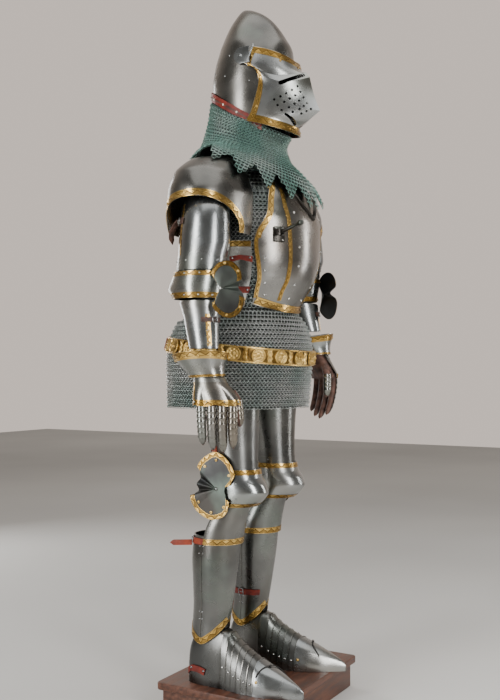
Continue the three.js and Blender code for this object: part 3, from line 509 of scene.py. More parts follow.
def mail_metal(name, steel, patina, share):
    """Mail rings, some bright and some gone green, in slow patches."""
    n = Nodes(name)
    slow = n.ramp(n.noise(9, 4), (share - 0.12, patina), (share + 0.14, steel))
    speck = n.ramp(n.noise(210, 2), (0.34, (0.30, 0.32, 0.30)), (0.6, (1, 1, 1)))
    n.join(Base_Color=n.blend(0.6, slow, speck, "MULTIPLY"), Metallic=0.9)
    n.join(Roughness=n.range(n.noise(150, 2), 0.3, 0.7, 0.3, 0.52))
    return n.material


def mahogany():
    """Stained wood with long grain and short dark pores."""
    n = Nodes("mahogany")
    grain = n.noise(9, 6, (1, 9, 9), (0, 0, 0.03))
    pores = n.noise(60, 2, (1, 14, 14))
    tone = n.ramp(grain, (0.32, (0.05, 0.017, 0.009)), (0.52, (0.10, 0.036, 0.019)),
            (0.7, (0.16, 0.062, 0.034)))
    dark = n.ramp(pores, (0.34, (0.25, 0.25, 0.25)), (0.46, (1, 1, 1)))
    n.join(Base_Color=n.blend(0.55, tone, dark, "MULTIPLY"), Roughness=n.range(grain, 0.3, 0.7, 0.34, 0.5))
    n.bump(pores, 0.2, 0.0006)
    return n.material


def plain(name, color, rough, metallic=0.0, scale=30):
    """A quiet finish with a little unevenness in its colour and gloss."""
    n = Nodes(name)
    low = tuple(c * 0.72 for c in color)
    n.join(Base_Color=n.ramp(n.noise(scale, 3), (0.35, low), (0.65, color)), Metallic=metallic)
    n.join(Roughness=n.range(n.noise(scale * 2, 3), 0.3, 0.7, rough * 0.85, min(rough * 1.15, 1)))
    n.bump(n.noise(scale * 4, 3), 0.15, 0.0004)
    return n.material


steel = polished_steel("polished_steel", (0.19, 0.20, 0.205), (0.40, 0.415, 0.41))
# painted shade: the wings' steel is painted near-black and rough, so that their flat faces read as turned
# away from the light
wing_steel_painted_shade = polished_steel("wing_steel_painted_shade", (0.03, 0.031, 0.032), (0.06, 0.06, 0.058), (0.4, 0.5),
        (0.06, 0.05, 0.04))
# painted shade: a darker copy of the same steel for the legs, standing for the darker reflections low on the
# figure
leg_steel_painted_shade = polished_steel("leg_steel_painted_shade", (0.09, 0.092, 0.09), (0.22, 0.22, 0.21), (0.24, 0.34),
        (0.16, 0.14, 0.11))
# painted light: a paler copy of the steel, for the backplate where it lies in shadow and for rivet heads,
# standing for their glints
painted_light_steel = polished_steel("painted_light_steel", (0.50, 0.50, 0.49), (0.66, 0.66, 0.64), (0.2, 0.3))
black_iron = polished_steel("black_iron", (0.03, 0.03, 0.03), (0.07, 0.068, 0.064), (0.25, 0.36),
        (0.05, 0.04, 0.03))
scale_steel = polished_steel("scale_steel", (0.12, 0.115, 0.11), (0.30, 0.29, 0.27), (0.2, 0.3))
dark_steel = polished_steel("dark_steel", (0.10, 0.10, 0.094), (0.25, 0.24, 0.22), (0.22, 0.35),
        (0.17, 0.14, 0.10))
visor_steel = polished_steel("visor_steel", (0.26, 0.27, 0.27), (0.50, 0.51, 0.50), (0.2, 0.32))
brown_steel = polished_steel("brown_steel", (0.15, 0.15, 0.145), (0.31, 0.305, 0.29), (0.2, 0.32),
        (0.24, 0.18, 0.13))
brass = engraved_brass("engraved_brass", 1.6)
fine_brass = engraved_brass("fine_engraved_brass", 1.0)
# painted shade: the wings' brass at half its brightness, darkened together with the wings' steel
wing_brass_painted_shade = engraved_brass("wing_engraved_brass_painted_shade", 1.3, 0.5)
plaque_brass = cast_brass("cast_brass", (0.36, 0.22, 0.06), (0.66, 0.45, 0.15))
belt_ground = cast_brass("dark_cast_brass", (0.07, 0.04, 0.012), (0.20, 0.12, 0.035))
red_leather = strap_leather("red_leather", (0.085, 0.006, 0.003), (0.19, 0.014, 0.005))
orange_leather = strap_leather("orange_leather", (0.15, 0.016, 0.005), (0.29, 0.038, 0.009))
dark_leather = strap_leather("dark_leather", (0.035, 0.016, 0.011), (0.10, 0.045, 0.03))
glove_leather = strap_leather("glove_leather", (0.060, 0.028, 0.020), (0.17, 0.082, 0.058), 0.62)
green_mail = mail_metal("green_mail", (0.52, 0.62, 0.57), (0.24, 0.42, 0.36), 0.54)
grey_mail = mail_metal("grey_mail", (0.56, 0.57, 0.55), (0.31, 0.40, 0.37), 0.42)
# painted shade: the near-black finish of the sheets under the mail, which stand for the shade behind and
# between the rings
painted_mail_shade = plain("mail_shadow", (0.016, 0.020, 0.018), 0.9)
lace_cord = plain("lace_cord", (0.022, 0.019, 0.017), 0.75, 0.0, 300)
wood = mahogany()


# ------------------------------------------------------------------ camera, lights and floor
EYE_DISTANCE = 2.6
EYE_HEIGHT = 850
SENSOR_WIDTH = 36
LENS = 47.83
LENS_SHIFT = (-0.0043, 0.0286)
LIGHT_TARGET = (0, 0, 1.1)
VIEW_TURN = radians(30)
VIEW = Vector((cos(VIEW_TURN), sin(VIEW_TURN), 0))


def add_camera():
    data = bpy.data.cameras.new("camera")
    data.sensor_width = SENSOR_WIDTH
    data.lens = LENS
    data.shift_x, data.shift_y = LENS_SHIFT
    camera = add_object("camera", data)
    camera.location = place(0, 0, EYE_HEIGHT) - VIEW * EYE_DISTANCE
    camera.rotation_euler = VIEW.to_track_quat("-Z", "Y").to_euler()
    bpy.context.scene.camera = camera


def soft_light(name, spot, target, size, power_watts):
    data = bpy.data.lights.new(name, "AREA")
    data.shape = "RECTANGLE"
    data.size, data.size_y = size
    data.energy = power_watts
    light = add_object(name, data)
    light.location = spot
    light.rotation_euler = (Vector(target) - Vector(spot)).to_track_quat("-Z", "Y").to_euler()


def add_room():
    bm = bmesh.new()
    bmesh.ops.create_grid(bm, x_segments=1, y_segments=1, size=9)
    floor = finish_mesh(bm, "floor", plain("pale_floor", (0.78, 0.77, 0.74), 0.85, 0, 0.25))
    world = bpy.data.worlds.new("soft_room")
    world.use_nodes = True
    tree = world.node_tree
    coords = tree.nodes.new("ShaderNodeTexCoord")
    facing = tree.nodes.new("ShaderNodeVectorMath")
    facing.operation = "DOT_PRODUCT"
    facing.inputs[1].default_value = VIEW
    ramp = tree.nodes.new("ShaderNodeValToRGB")
    tree.links.new(coords.outputs["Generated"], facing.inputs[0])
    tree.links.new(facing.outputs["Value"], ramp.inputs[0])
    tree.links.new(ramp.outputs[0], tree.nodes["Background"].inputs[0])
    ramp.color_ramp.elements[0].position = 0.0
    ramp.color_ramp.elements[0].color = (0.17, 0.165, 0.155, 1)
    ramp.color_ramp.elements[1].position = 0.75
    ramp.color_ramp.elements[1].color = (0.66, 0.58, 0.52, 1)
    tree.nodes["Background"].inputs[1].default_value = 1.15
    bpy.context.scene.world = world
    soft_light("tall_side_light", (-2.6, 0.7, 1.3), LIGHT_TARGET, (0.62, 2.4), 66)
    soft_light("front_light", (-1.7, -2.9, 1.5), LIGHT_TARGET, (0.70, 2.4), 66)
    soft_light("far_front_light", (1.9, -2.6, 1.4), LIGHT_TARGET, (0.3, 2.2), 30)
    soft_light("back_light", (1.2, 2.9, 1.6), LIGHT_TARGET, (0.5, 2.2), 30)
    soft_light("top_light", (-0.6, -0.5, 3.6), (0, 0, 1.0), (3.2, 3.2), 52)


add_camera()


# ------------------------------------------------------------------ tables of the figure, in millimetres
def table(*rows):
    return tuple(Section(*row) for row in rows)


SKULL = table(
    (1500, 0, 0, 102, 110, 110),
    (1600, 0, 0, 106.8, 114, 114.3),
    (1636, 0, 1, 106.8, 114.3, 114.3),
    (1691, 0, -5, 104.5, 111.8, 111.8),
    (1733, 0, -10, 97.2, 104, 104),
    (1765, 0, -7, 83.6, 89.4, 89.4),
    (1798, 0, -3, 66.8, 71.4, 71.4),
    (1828, 0, 3, 45, 48.3, 48.3),
    (1850, 0, 14, 20.4, 21.8, 21.8),
    (1857, 0, 22, 7, 8, 8),
    (1859, 0, 26, 0.2, 0.2, 0.2),
)
TORSO = table(
    (1000, 0, 24, 168, 152, 140),
    (1020, 0, 22, 163, 147, 135),
    (1050, 0, 20, 168, 161, 135),
    (1094, 0, 20, 175, 192, 135),
    (1145, 0, 20, 185, 206, 137),
    (1190, 0, 20, 190, 209, 138),
    (1238, 0, 20, 190, 209, 138),
    (1289, 0, 20, 185, 197, 135),
    (1330, 0, 20, 172, 184, 128),
    (1365, 0, 20, 150, 150, 112),
)
SHIRT = table(
    (750, 0, 48, 200, 195, 195),
    (800, 0, 46, 205, 197, 197),
    (890, 0, 41.5, 210, 200, 200),
    (945, 0, 38, 200, 190, 192),
    (980, 0, 36, 184, 174, 178),
    (1012, 0, 22.8, 156.4, 140.2, 128),
    (1050, 0, 20, 159, 152, 126),
    (1094, 0, 20, 166, 183, 126),
    (1145, 0, 20, 176, 197, 128),
    (1238, 0, 20, 181, 200, 129),
    (1325, 0, 20, 165, 177, 120),
    (1362, 0, 20, 150, 128, 96),
    (1388, 0, 18, 112, 92, 78),
)
BODY_CENTRE = place(0, 20, 1180)


# ------------------------------------------------------------------ helmet
STRIP_HEIGHT = 25


def strip_foot(angle):
    """The lower edge of the leather strip, which rises towards the back."""
    return 1539 - 0.626 * 114 * cos(radians(angle))


def skull_foot(angle):
    return 1675 if turned(angle) <= 42 else strip_foot(angle) + 6


SKULL_TOP = 1859
SKULL_SLACK = 3.0  # room for the lifted visor, at the temples
SKULL_SLACK_FADE = 30  # how far under the top the slack begins to fade
BROW_COURSE = 1694  # a level course of the mesh, just over the brow


def make_skull():
    half = [0, 7, 14, 21, 28, 35, 40, 42, 44] + [44 + 4.533 * i for i in range(1, 31)]
    stops = half + [360 - a for a in reversed(half[:-1])]
    columns = len(stops) - 1

    def surface(angle, height, lift=0.0):
        slack = SKULL_SLACK * sin(radians(angle)) ** 2 * min((SKULL_TOP - height) / SKULL_SLACK_FADE, 1)
        return on(SKULL, angle, height, lift=lift - slack)

    def spot(u, v):
        a = stops[round(u * columns)]
        if v < 0.5:
            return surface(a, mix(skull_foot(a), BROW_COURSE, 2 * v))
        return surface(a, mix(BROW_COURSE, SKULL_TOP, 1 - (2 - 2 * v) ** 1.25))

    bm = net(columns, 44, spot, place(0, 0, 1640), STEEL, closed=True)
    belongs(finish_mesh(bm, "skull_plate", dark_steel), "harness", "dark_steel", "helmet_skull")
    right_side = ((103, 1703), (106, 1649), (67, 1627), (140, 1672), (168, 1690))
    spots = [(a, height) for angle, height in right_side for a in (angle, 360 - angle)]
    rivets("skull_rivets", surface, spots, place(0, 0, 1640), 2.6, 0, steel)


def make_helmet_strip():
    inside = place(0, 0, 1600)
    shell("helmet_strip_leather", SKULL, (50, 310), strip_foot, lambda a: strip_foot(a) + STRIP_HEIGHT,
            red_leather, wall=LEATHER, columns=90, rows=6, lift=4.1, node="helmet_strip")
    surface = tube_of(SKULL)

    def middle(t):
        angle = mix(52, 308, t)
        return angle, strip_foot(angle) + 10.5

    strip("strip_cord", surface, middle, 3, dark_leather, inside, wall=2.2, lift=4.0, steps=100)
    spots = [(63 + 21.3 * i, strip_foot(63 + 21.3 * i) + 12) for i in range(12)]
    rivets("strip_studs", surface, spots, inside, 3.1, 5.6, plain("bone_studs", (0.72, 0.66, 0.55), 0.4))


VISOR = (
    (0, -133, 1690, 64, -133, 1695, 92, -88, 1712, 96, -51, 1718),
    (0, -150, 1660, 56, -146, 1656, 98, -90, 1668, 106, -35, 1673),
    (0, -165, 1656, 40, -153, 1642, 80, -110, 1620, 99, -55, 1665),
    (0, -177, 1641, 44, -163, 1624, 80, -116, 1600, 93, -64, 1652),
    (0, -189, 1594, 40, -160, 1584, 76, -112, 1574, 89, -68, 1628),
    (0, -208, 1546, 34, -166, 1552, 72, -112, 1550, 93, -62, 1590),
    (0, -172, 1524, 38, -152, 1528, 74, -112, 1532, 98, -55, 1560),
    (0, -138, 1507, 42, -136, 1512, 84, -98, 1522, 102, -49, 1537),
    (0, -141, 1488, 46, -139, 1490, 88, -98, 1503, 108, -36, 1517),
)
VISOR_CREASES = (0, 2, 3, 5, 8)
BREATH_HOLE = 6.6
TEMPLE = (101, -27, 1693)
VISOR_CENTRE = place(0, -20, 1610)


@lru_cache(maxsize=None)
def visor_handles(line):
    """The four handles of the visor's curve between its lines, creased at the sight and the tip."""
    first = max(c for c in VISOR_CREASES[:-1] if c <= line)
    last = VISOR_CREASES[VISOR_CREASES.index(first) + 1]
    return [curve([(i, VISOR[i][k]) for i in range(first, last + 1)], line) for k in range(12)]


def on_visor(a, b, lift=0.0):
    """A point of the visor: a runs from -100 to 100 across it, and b from 0 at the brow to 80 at the chin."""
    handles = visor_handles(round(min(max(b / 10, 0), 8), 4))
    t = abs(a) / 100
    weights = ((1 - t) ** 3, 3 * t * (1 - t) ** 2, 3 * t * t * (1 - t), t**3)
    x, y, z = (sum(w * handles[3 * i + k] for i, w in enumerate(weights)) for k in range(3))
    spot = place(x if a >= 0 else -x, y, z)
    if not lift:
        return spot
    inner_a = min(max(a, -99), 99)
    inner_b = min(max(b, 1), 79)
    across = on_visor(inner_a + 1, b) - on_visor(inner_a - 1, b)
    down = on_visor(a, inner_b + 1) - on_visor(a, inner_b - 1)
    normal = across.cross(down).normalized()
    if normal.dot(spot - VISOR_CENTRE) < 0:
        normal.negate()
    return spot + normal * lift * MM


def rod(bm, radius, length, sides, turn):
    """A round bar along its own Z axis, closed at both ends."""
    bmesh.ops.create_cone(bm, cap_ends=True, segments=sides, radius1=radius * MM, radius2=radius * MM,
                          depth=length * MM, matrix=turn)


def slot_cutter(bm, first, last, height, depth):
    """A bar with round ends that cuts a slot between two points of the visor."""
    run = last - first
    inwards = Vector((run.y, -run.x, 0)).normalized()
    upwards = inwards.cross(run).normalized()
    turn = Matrix((run.normalized(), upwards, run.normalized().cross(upwards))).transposed().to_4x4()
    turn.translation = (first + last) / 2
    outline = bmesh.ops.create_circle(bm, cap_ends=True, segments=18, radius=height / 2 * MM)["verts"]
    for vert in outline:
        vert.co.x += copysign(run.length / 2, vert.co.x)
        vert.co.z = -depth / 2 * MM
    face = outline[0].link_faces[0]
    made = bmesh.ops.extrude_face_region(bm, geom=[face], use_keep_orig=True)["geom"]
    far = [g for g in made if isinstance(g, bmesh.types.BMVert)]
    bmesh.ops.translate(bm, verts=far, vec=(0, 0, depth * MM))
    bmesh.ops.transform(bm, verts=outline + far, matrix=turn)


def breath_places():
    """The visor's breath holes, in a slanting grid on each cheek."""
    places = []
    for row in range(5):
        for step in range((5, 5, 5, 4, 3)[row]):
            across = 29 - 4.6 * row + 0.25 * row**2 + step * (10.5 - 0.35 * row**2)
            places.append((across, 34 + 3.9 * row + 1.9 * step + 0.36 * step**2))
    return places


def cut_with(piece, cutters):
    """Cuts a piece with a closed mesh, and keeps the result as its own mesh."""
    mesh = bpy.data.meshes.new("cutters")
    bmesh.ops.recalc_face_normals(cutters, faces=cutters.faces)
    cutters.to_mesh(mesh)
    cutters.free()
    tool = add_object("cutters", mesh)
    modifier = piece.modifiers.new("cut", "BOOLEAN")
    modifier.operation = "DIFFERENCE"
    modifier.solver = "EXACT"
    modifier.object = tool
    bpy.context.view_layer.update()
    result = bpy.data.meshes.new_from_object(piece.evaluated_get(bpy.context.evaluated_depsgraph_get()))
    piece.modifiers.clear()
    old = piece.data
    piece.data = result
    bpy.data.meshes.remove(old)
    bpy.data.objects.remove(tool)
    bpy.data.meshes.remove(mesh)
    return piece


def make_visor():
    def spot(u, v):
        return on_visor(200 * u - 100, 80 * v)

    bm = net(64, 80, spot, VISOR_CENTRE, STEEL)
    plate = finish_mesh(bm, "visor_plate", visor_steel, 24)
    cutters = bmesh.new()
    for hand in (RIGHT, LEFT):
        slot_cutter(cutters, place(hand * 13, -163, 1645), place(hand * 66, -123, 1617), 11, 44)
        slot_cutter(cutters, place(hand * 15, -142, 1513), place(hand * 52, -131, 1535), 6, 44)
        for a, b in breath_places():
            out = outward(on_visor, hand * a, b, VISOR_CENTRE)
            rod(cutters, BREATH_HOLE / 2, 14, 12, seat(on_visor(hand * a, b), out))
    cut_with(plate, cutters)
    belongs(plate, "visor", "steel", "visor")
    bands = (
        ("brow_band", along((-97, 0.3), (97, 0.3)), 14, 90),
        ("chin_band", along((-97, 79.7), (97, 79.7)), -18, 90),
        ("right_rear_band", along((-99.5, 2), (-99.5, 78)), -17, 50),
        ("left_rear_band", along((99.5, 2), (99.5, 78)), 17, 50),
    )
    for name, line, width, steps in bands:
        strip(name, on_visor, line, width, brass, VISOR_CENTRE, wall=THIN_BRASS, steps=steps, across=4,
                body="visor")
    left_side = ((90, 5), (40, 5), (0, 5), (96, 14), (94, 60), (62, 75), (22, 75))
    spots = [(hand * a, b) for a, b in left_side for hand in (RIGHT, LEFT)]
    ring_rivets("visor_ring_rivets", on_visor, spots, VISOR_CENTRE, 3.4, body="visor")


def make_visor_arm(hand, side):
    """The rounded plate that the visor turns on, and the hinge pin in front of it."""
    bm = bmesh.new()
    bmesh.ops.create_circle(bm, cap_ends=True, segments=40, radius=22 * MM)
    for vert in bm.verts:
        if vert.co.x < 0:
            vert.co.x = -26 * MM * min(1, -vert.co.x / 22 / MM * 1.6)
            if vert.co.x < -10 * MM:
                vert.co.y = (22 if vert.co.y > 0 else -22) * MM * (1 if abs(vert.co.y) > 4 * MM else 0.4)
    made = bmesh.ops.extrude_face_region(bm, geom=bm.faces[:])["geom"]
    for vert in (g for g in made if isinstance(g, bmesh.types.BMVert)):
        vert.co.z += 2 * MM
    x, y, z = TEMPLE
    turn = Matrix(((0, 0, hand, 0), (1, 0, 0, 0), (0, 1, 0, 0), (0, 0, 0, 1)))
    turn.translation = place(hand * (x + 8.5), y + 1, z)
    bm.transform(turn)
    bmesh.ops.recalc_face_normals(bm, faces=bm.faces)
    edges = [e for e in bm.edges if e.calc_face_angle() > radians(50)]
    bmesh.ops.bevel(bm, geom=edges, offset=0.7 * MM, affect="EDGES", segments=2, profile=0.5, material=-1)
    belongs(finish_mesh(bm, f"visor_arm_plate_{side}", steel), "visor", "steel", f"visor_arm_{side}")
    pin = bmesh.new()
    lean = Matrix.Rotation(radians(24), 4, "X")
    lean.translation = place(hand * (x + 8.8), y - 27, z + 2)
    rod(pin, 2.4, 50, 14, lean)
    belongs(finish_mesh(pin, f"visor_hinge_pin_{side}", steel), "visor", "steel")
    pivot = seat(place(hand * (x + 10.4), y + 2, z), Vector((hand, 0, 0)), 4.2 * MM)
    rivets_at(f"visor_pivot_{side}", [pivot], steel, "visor")


# ------------------------------------------------------------------ mail
AVENTAIL = (
    (1492, 1537, 1609, 110, 106, 117, 1.0),
    (1462, 1500, 1555, 113, 86, 126, 1.0),
    (1430, 1464, 1505, 136, 94, 134, 1.05),
    (1390, 1446, 1454, 176, 130, 138, 1.15),
    (1337, 1436, 1418, 216, 172, 136, 1.25),
    (1282, 1410, 1384, 265, 195, 134, 1.36),
)
AVENTAIL_TEETH = 20
TOOTH_DEPTH = 11.5


@lru_cache(maxsize=None)
def aventail_course(t):
    return [curve([(i, c[k]) for i, c in enumerate(AVENTAIL)], t) for k in range(7)]


def on_aventail(angle, t, lift=0.0):
    """A point of the cape: t runs from 0 under the helmet to 50 at the points of its hem."""
    fore, side, back, wide, front, rear, pinch = aventail_course(round(min(max(t / 10, 0), 5), 4))
    a = radians(angle)
    ahead = cos(a)
    z = side + ((fore - side) * ahead if ahead > 0 else (back - side) * -ahead)
    aside = power(sin(a), pinch)
    fold = 1.6 * sin(6 * a) * max(t / 10 - 2, 0) / 3
    y = -((front if ahead > 0 else rear) + lift) * ahead
    if t < 0.5:
        z = max(z, strip_foot(angle) - 4)
    return place(-(wide + lift + fold) * aside, y, z)


def hem_depth(angle):
    """How far down the cape goes at an angle, between the points of its hem."""
    share = (angle / 360 * AVENTAIL_TEETH) % 1
    return 50 - TOOTH_DEPTH * abs(2 * share - 1)


def ring_shape():
    bm = bmesh.new()
    section = bmesh.ops.create_circle(bm, segments=3, radius=0.13)["verts"]
    bmesh.ops.transform(bm, verts=section,
            matrix=Matrix.Translation((0.84, 0, 0)) @ Matrix.Rotation(pi / 2, 4, "X"))
    bmesh.ops.spin(bm, geom=bm.verts[:] + bm.edges[:], axis=(0, 0, 1), cent=(0, 0, 0), angle=2 * pi,
            steps=8, use_merge=True)
    bmesh.ops.recalc_face_normals(bm, faces=bm.faces)
    bm.verts.index_update()
    return bm


def row_places(surface, height, span):
    """Angles a ring's width apart along one row of mail."""
    first, last = span
    steps = 240
    angles = [mix(first, last, i / steps) for i in range(steps + 1)]
    spots = [surface(a, height) for a in angles]
    walked = [0.0]
    for p, q in zip(spots, spots[1:]):
        walked.append(walked[-1] + (q - p).length)
    count = max(1, round(walked[-1] / (RING_PITCH * MM)))
    return np.interp([(i + 0.5) * walked[-1] / count for i in range(count)], walked, angles), 180 / count


def weave(name, surface, heights, span, keep, inside, material, lift=1.2):
    """Rows of rings, each row tipped against the one above and half a ring along from it."""
    seats = []
    for row, height in enumerate(heights):
        angles, half_step = row_places(surface, height, span)
        tip = radians(RING_TIP if row % 2 else -RING_TIP)
        for angle in angles:
            a = float(angle) + (half_step if row % 2 else 0)
            if not keep(a, height):
                continue
            spot = surface(a, height, lift)
            normal = outward(surface, a, height, inside)
            turn = seat(spot, normal, RING_RADIUS * MM)
            seats.append(turn @ Matrix.Rotation(tip, 4, "X"))
    pieces = []
    for i in range(0, len(seats), RINGS_IN_A_PIECE):
        some = seats[i : i + RINGS_IN_A_PIECE]
        piece = repeated(f"{name}_{i // RINGS_IN_A_PIECE + 1}", ring_shape(), some, material)
        pieces.append(belongs(piece, "harness", "mail"))
    return pieces


def make_aventail():
    inside = place(0, 0, 1440)

    def spot(u, v):
        a = 360 * u
        return on_aventail(a, (hem_depth(a) - 1.0) * v, -0.6)

    # painted shade: a near-black sheet just under the rings, standing for the shade behind and between them
    painted_shade_sheet = finish_mesh(net(160, 26, spot, inside, 0.8, closed=True), "aventail_painted_shade_sheet", painted_mail_shade)
    belongs(painted_shade_sheet, "harness", "mail", "aventail")
    rows = [1.2 + 48.6 * i / 42 for i in range(43)]
    rings = weave("aventail_rings", on_aventail, rows, (0, 360), lambda a, t: t < hem_depth(a), inside,
            green_mail)
    area = sum(f.area for f in painted_shade_sheet.data.polygons) / 2


def make_shirt():
    surface = tube_of(SHIRT)
    inside = place(0, 30, 900)

    def spot(u, v):
        return on(SHIRT, 360 * u, mix(750, 1388, v), LEFT, -0.8)

    # painted shade: a near-black sheet just under the rings, standing for the shade behind and between them
    bm = net(96, 60, spot, place(0, 20, 1100), 0.8, closed=True)
    cutters = bmesh.new()
    for hand in (RIGHT, LEFT):
        turn = Matrix.Rotation(pi / 2, 4, "Y")
        turn.translation = place(hand * 180, 5, 1262)
        rod(cutters, 62, 120, 40, turn)
    painted_shade_sheet = cut_with(finish_mesh(bm, "mail_shirt_painted_shade_sheet", painted_mail_shade), cutters)
    belongs(painted_shade_sheet, "harness", "mail", "mail_shirt")
    count = round((1008 - 752) / (ROW_PITCH))
    heights = [752 + 256 * i / count for i in range(count + 1)]
    rings = weave("skirt_rings", surface, heights, (0, 360), lambda a, z: True, inside, grey_mail)
    middle = place(0, 20, 1200)
    sides = (
        ("right_side_rings", (286, 326), 1020, 55),
        ("left_side_rings", (34, 74), 1020, 55),
        ("right_shoulder_rings", (246, 334), 1323.5, 12),
        ("left_shoulder_rings", (26, 114), 1323.5, 12),
    )
    for name, span, low, rows in sides:
        heights = [low + ROW_PITCH * i for i in range(rows)]
        rings += weave(name, surface, heights, span, lambda angle, z: True, middle, grey_mail)
    area = sum(f.area for f in painted_shade_sheet.data.polygons) / 2


# ------------------------------------------------------------------ breast, back and belt
PLATE_EDGE = ((1000, 50), (1100, 54), (1180, 57), (1212, 55), (1240, 50), (1270, 46), (1310, 44),
        (1365, 40))


def plate_edge(z):
    return curve(PLATE_EDGE, z)


BREAST_RIVETS = ((49, 1142), (48.3, 1110), (46, 1078), (42, 1048), (23, 1266), (18.8, 1175), (18.2, 1125),
                 (15.5, 1077), (12.6, 1041))


def make_breastplate():
    def spot(u, v):
        t = 2 * u - 1
        z = mix(1004 + 20 * t * t, 1360, v)
        return on(TORSO, t * plate_edge(z), z)

    plate = finish_mesh(net(64, 56, spot, BODY_CENTRE, STEEL), "breast_plate", brown_steel)
    belongs(plate, "harness", "steel", "breastplate")
    surface = tube_of(TORSO)
    stops = ((33.5, 1330), (32, 1270), (30.2, 1210), (29.2, 1150), (28.6, 1100), (27.5, 1060), (26, 1034))
    for hand, side in SIDES:

        def armhole(t):
            z = mix(1356, 1196, t)
            return hand * (plate_edge(z) - 0.5), z

        def flank(t):
            z = mix(1196, 1040, t)
            return hand * (plate_edge(z) - 0.3), z

        middle = along(*[(hand * a, z) for a, z in stops])
        width = -15 * hand
        strip(f"armhole_band_{side}", surface, armhole, width, brass, BODY_CENTRE, across=4)
        strip(f"flank_band_{side}", surface, flank, 0.72 * width, fine_brass, BODY_CENTRE, steps=50)
        strip(f"breast_band_{side}", surface, middle, 0.8 * width, fine_brass, BODY_CENTRE, steps=70)
    strip("waist_band_front", surface, lambda t: (mix(-50, 50, t), 1005 + 20 * (2 * t - 1) ** 2), 19,
            brass, BODY_CENTRE, lift=1.3, steps=90, across=4)
    hands = (RIGHT, LEFT)
    spots = [(hand * a, z) for hand in hands for a, z in BREAST_RIVETS]
    # the breast's rivet heads take the paler steel: painted highlight standing for their glints
    rivets("breast_rivets", surface, spots, BODY_CENTRE, 3.6, 0, painted_light_steel)
    spots = [(hand * (a - 0.6), z) for hand in hands for a, z in ((46, 1262), (53.5, 1204), (44, 1330))]
    ring_rivets("breast_ring_rivets", surface, spots, BODY_CENTRE, 3.8)


BACK_TOP = ((58, 1186), (100, 1190), (113, 1215), (128, 1290), (145, 1345), (180, 1350))


def make_backplate():
    def top(angle):
        return curve(BACK_TOP, turned(angle))

    # the backplate takes the paler steel: painted light, lifting it out of the shadow it stands in
    shell("back_plate", TORSO, (58.6, 301.4), level(1018), top, painted_light_steel, columns=120, rows=40,
            node="backplate")
    surface = tube_of(TORSO)
    strip("backplate_top_band", surface, lambda t: (mix(59, 301, t), top(mix(59, 301, t)) - 0.5), -15,
            brass, BODY_CENTRE, steps=160, across=4)
    strip("waist_band_back", surface, level_line(59, 301, 1021), 18, brass, BODY_CENTRE, steps=140,
            across=4)
    shell("backplate_seam", TORSO, (178.6, 181.4), level(1042), level(1334), steel, wall=SEAM, columns=3,
            rows=30, lift=0.9)
    spots = [(a, z) for z in range(1060, 1330, 45) for a in (170, 190)]
    rivets("backplate_rivets", surface, spots, BODY_CENTRE, 2.8, 0, steel)


def make_side_straps():
    for hand, side in SIDES:
        shell(f"side_strap_leather_{side}", TORSO, (58, 75), lambda a: 1150 - 0.9 * abs(a - 67) - 12,
                lambda a: 1150 - 0.5 * abs(a - 67), red_leather, hand=hand, wall=LEATHER, columns=24,
                rows=4, lift=3.2, node=f"side_strap_{side}")
        shell(f"low_side_strap_{side}", TORSO, (57, 72), level(1052), level(1068), red_leather, hand=hand,
                wall=LEATHER, columns=20, rows=3, lift=3.2)
        spots = ((60, 1142), (73, 1142), (59, 1060), (70, 1060))
        rivets(f"side_strap_rivets_{side}", tube_of(TORSO, hand), spots, BODY_CENTRE, 3.0, 3.4, steel)


def make_stop_rib():
    """The rib on the breast that turns a point aside: a ridge along a V."""
    stops = ((-20, 1318), (-10, 1287), (0, 1256), (10, 1287), (20, 1318))

    def spot(u, v):
        i = min(int(u * 4), 3)
        share = u * 4 - i
        a = mix(stops[i][0], stops[i + 1][0], share)
        z = mix(stops[i][1], stops[i + 1][1], share)
        return on(TORSO, a, z + mix(-5, 5, v), LEFT, 0.4 + 6.2 * sin(pi * v) ** 0.8)

    rib = finish_mesh(net(24, 8, spot, BODY_CENTRE, 0.6), "stop_rib_ridge", black_iron)
    belongs(rib, "harness", "dark_steel", "stop_rib")


def lance_rest_place():
    """The foot of the lance rest on the breast, its way out, and its pivot."""
    foot = on(TORSO, 38, 1204, RIGHT)
    beside = on(TORSO, 39, 1204, RIGHT)
    run = (beside - foot).normalized()
    out = Vector((run.y, -run.x, 0))
    if out.y > 0:
        out.negate()
    return foot, out, foot + out * 15.4 * MM + Vector((0, 0, 4 * MM))


def basis(out, up, spot):
    aside = out.cross(up).normalized()
    turn = Matrix((aside, out, aside.cross(out))).transposed().to_4x4()
    turn.translation = spot
    return turn


def block(bm, turn, size, centre, bevel=0.0):
    """Adds a bevelled block in a frame of its own."""
    shift = Matrix.Translation(Vector(centre) * MM) @ Matrix.Diagonal((*[c * MM for c in size], 1))
    made = bmesh.ops.create_cube(bm, size=1, matrix=turn @ shift)["verts"]
    if bevel:
        edges = edges_of(bm, made)
        bmesh.ops.bevel(bm, geom=edges, offset=bevel * MM, affect="EDGES", segments=2, profile=0.5,
                material=-1)


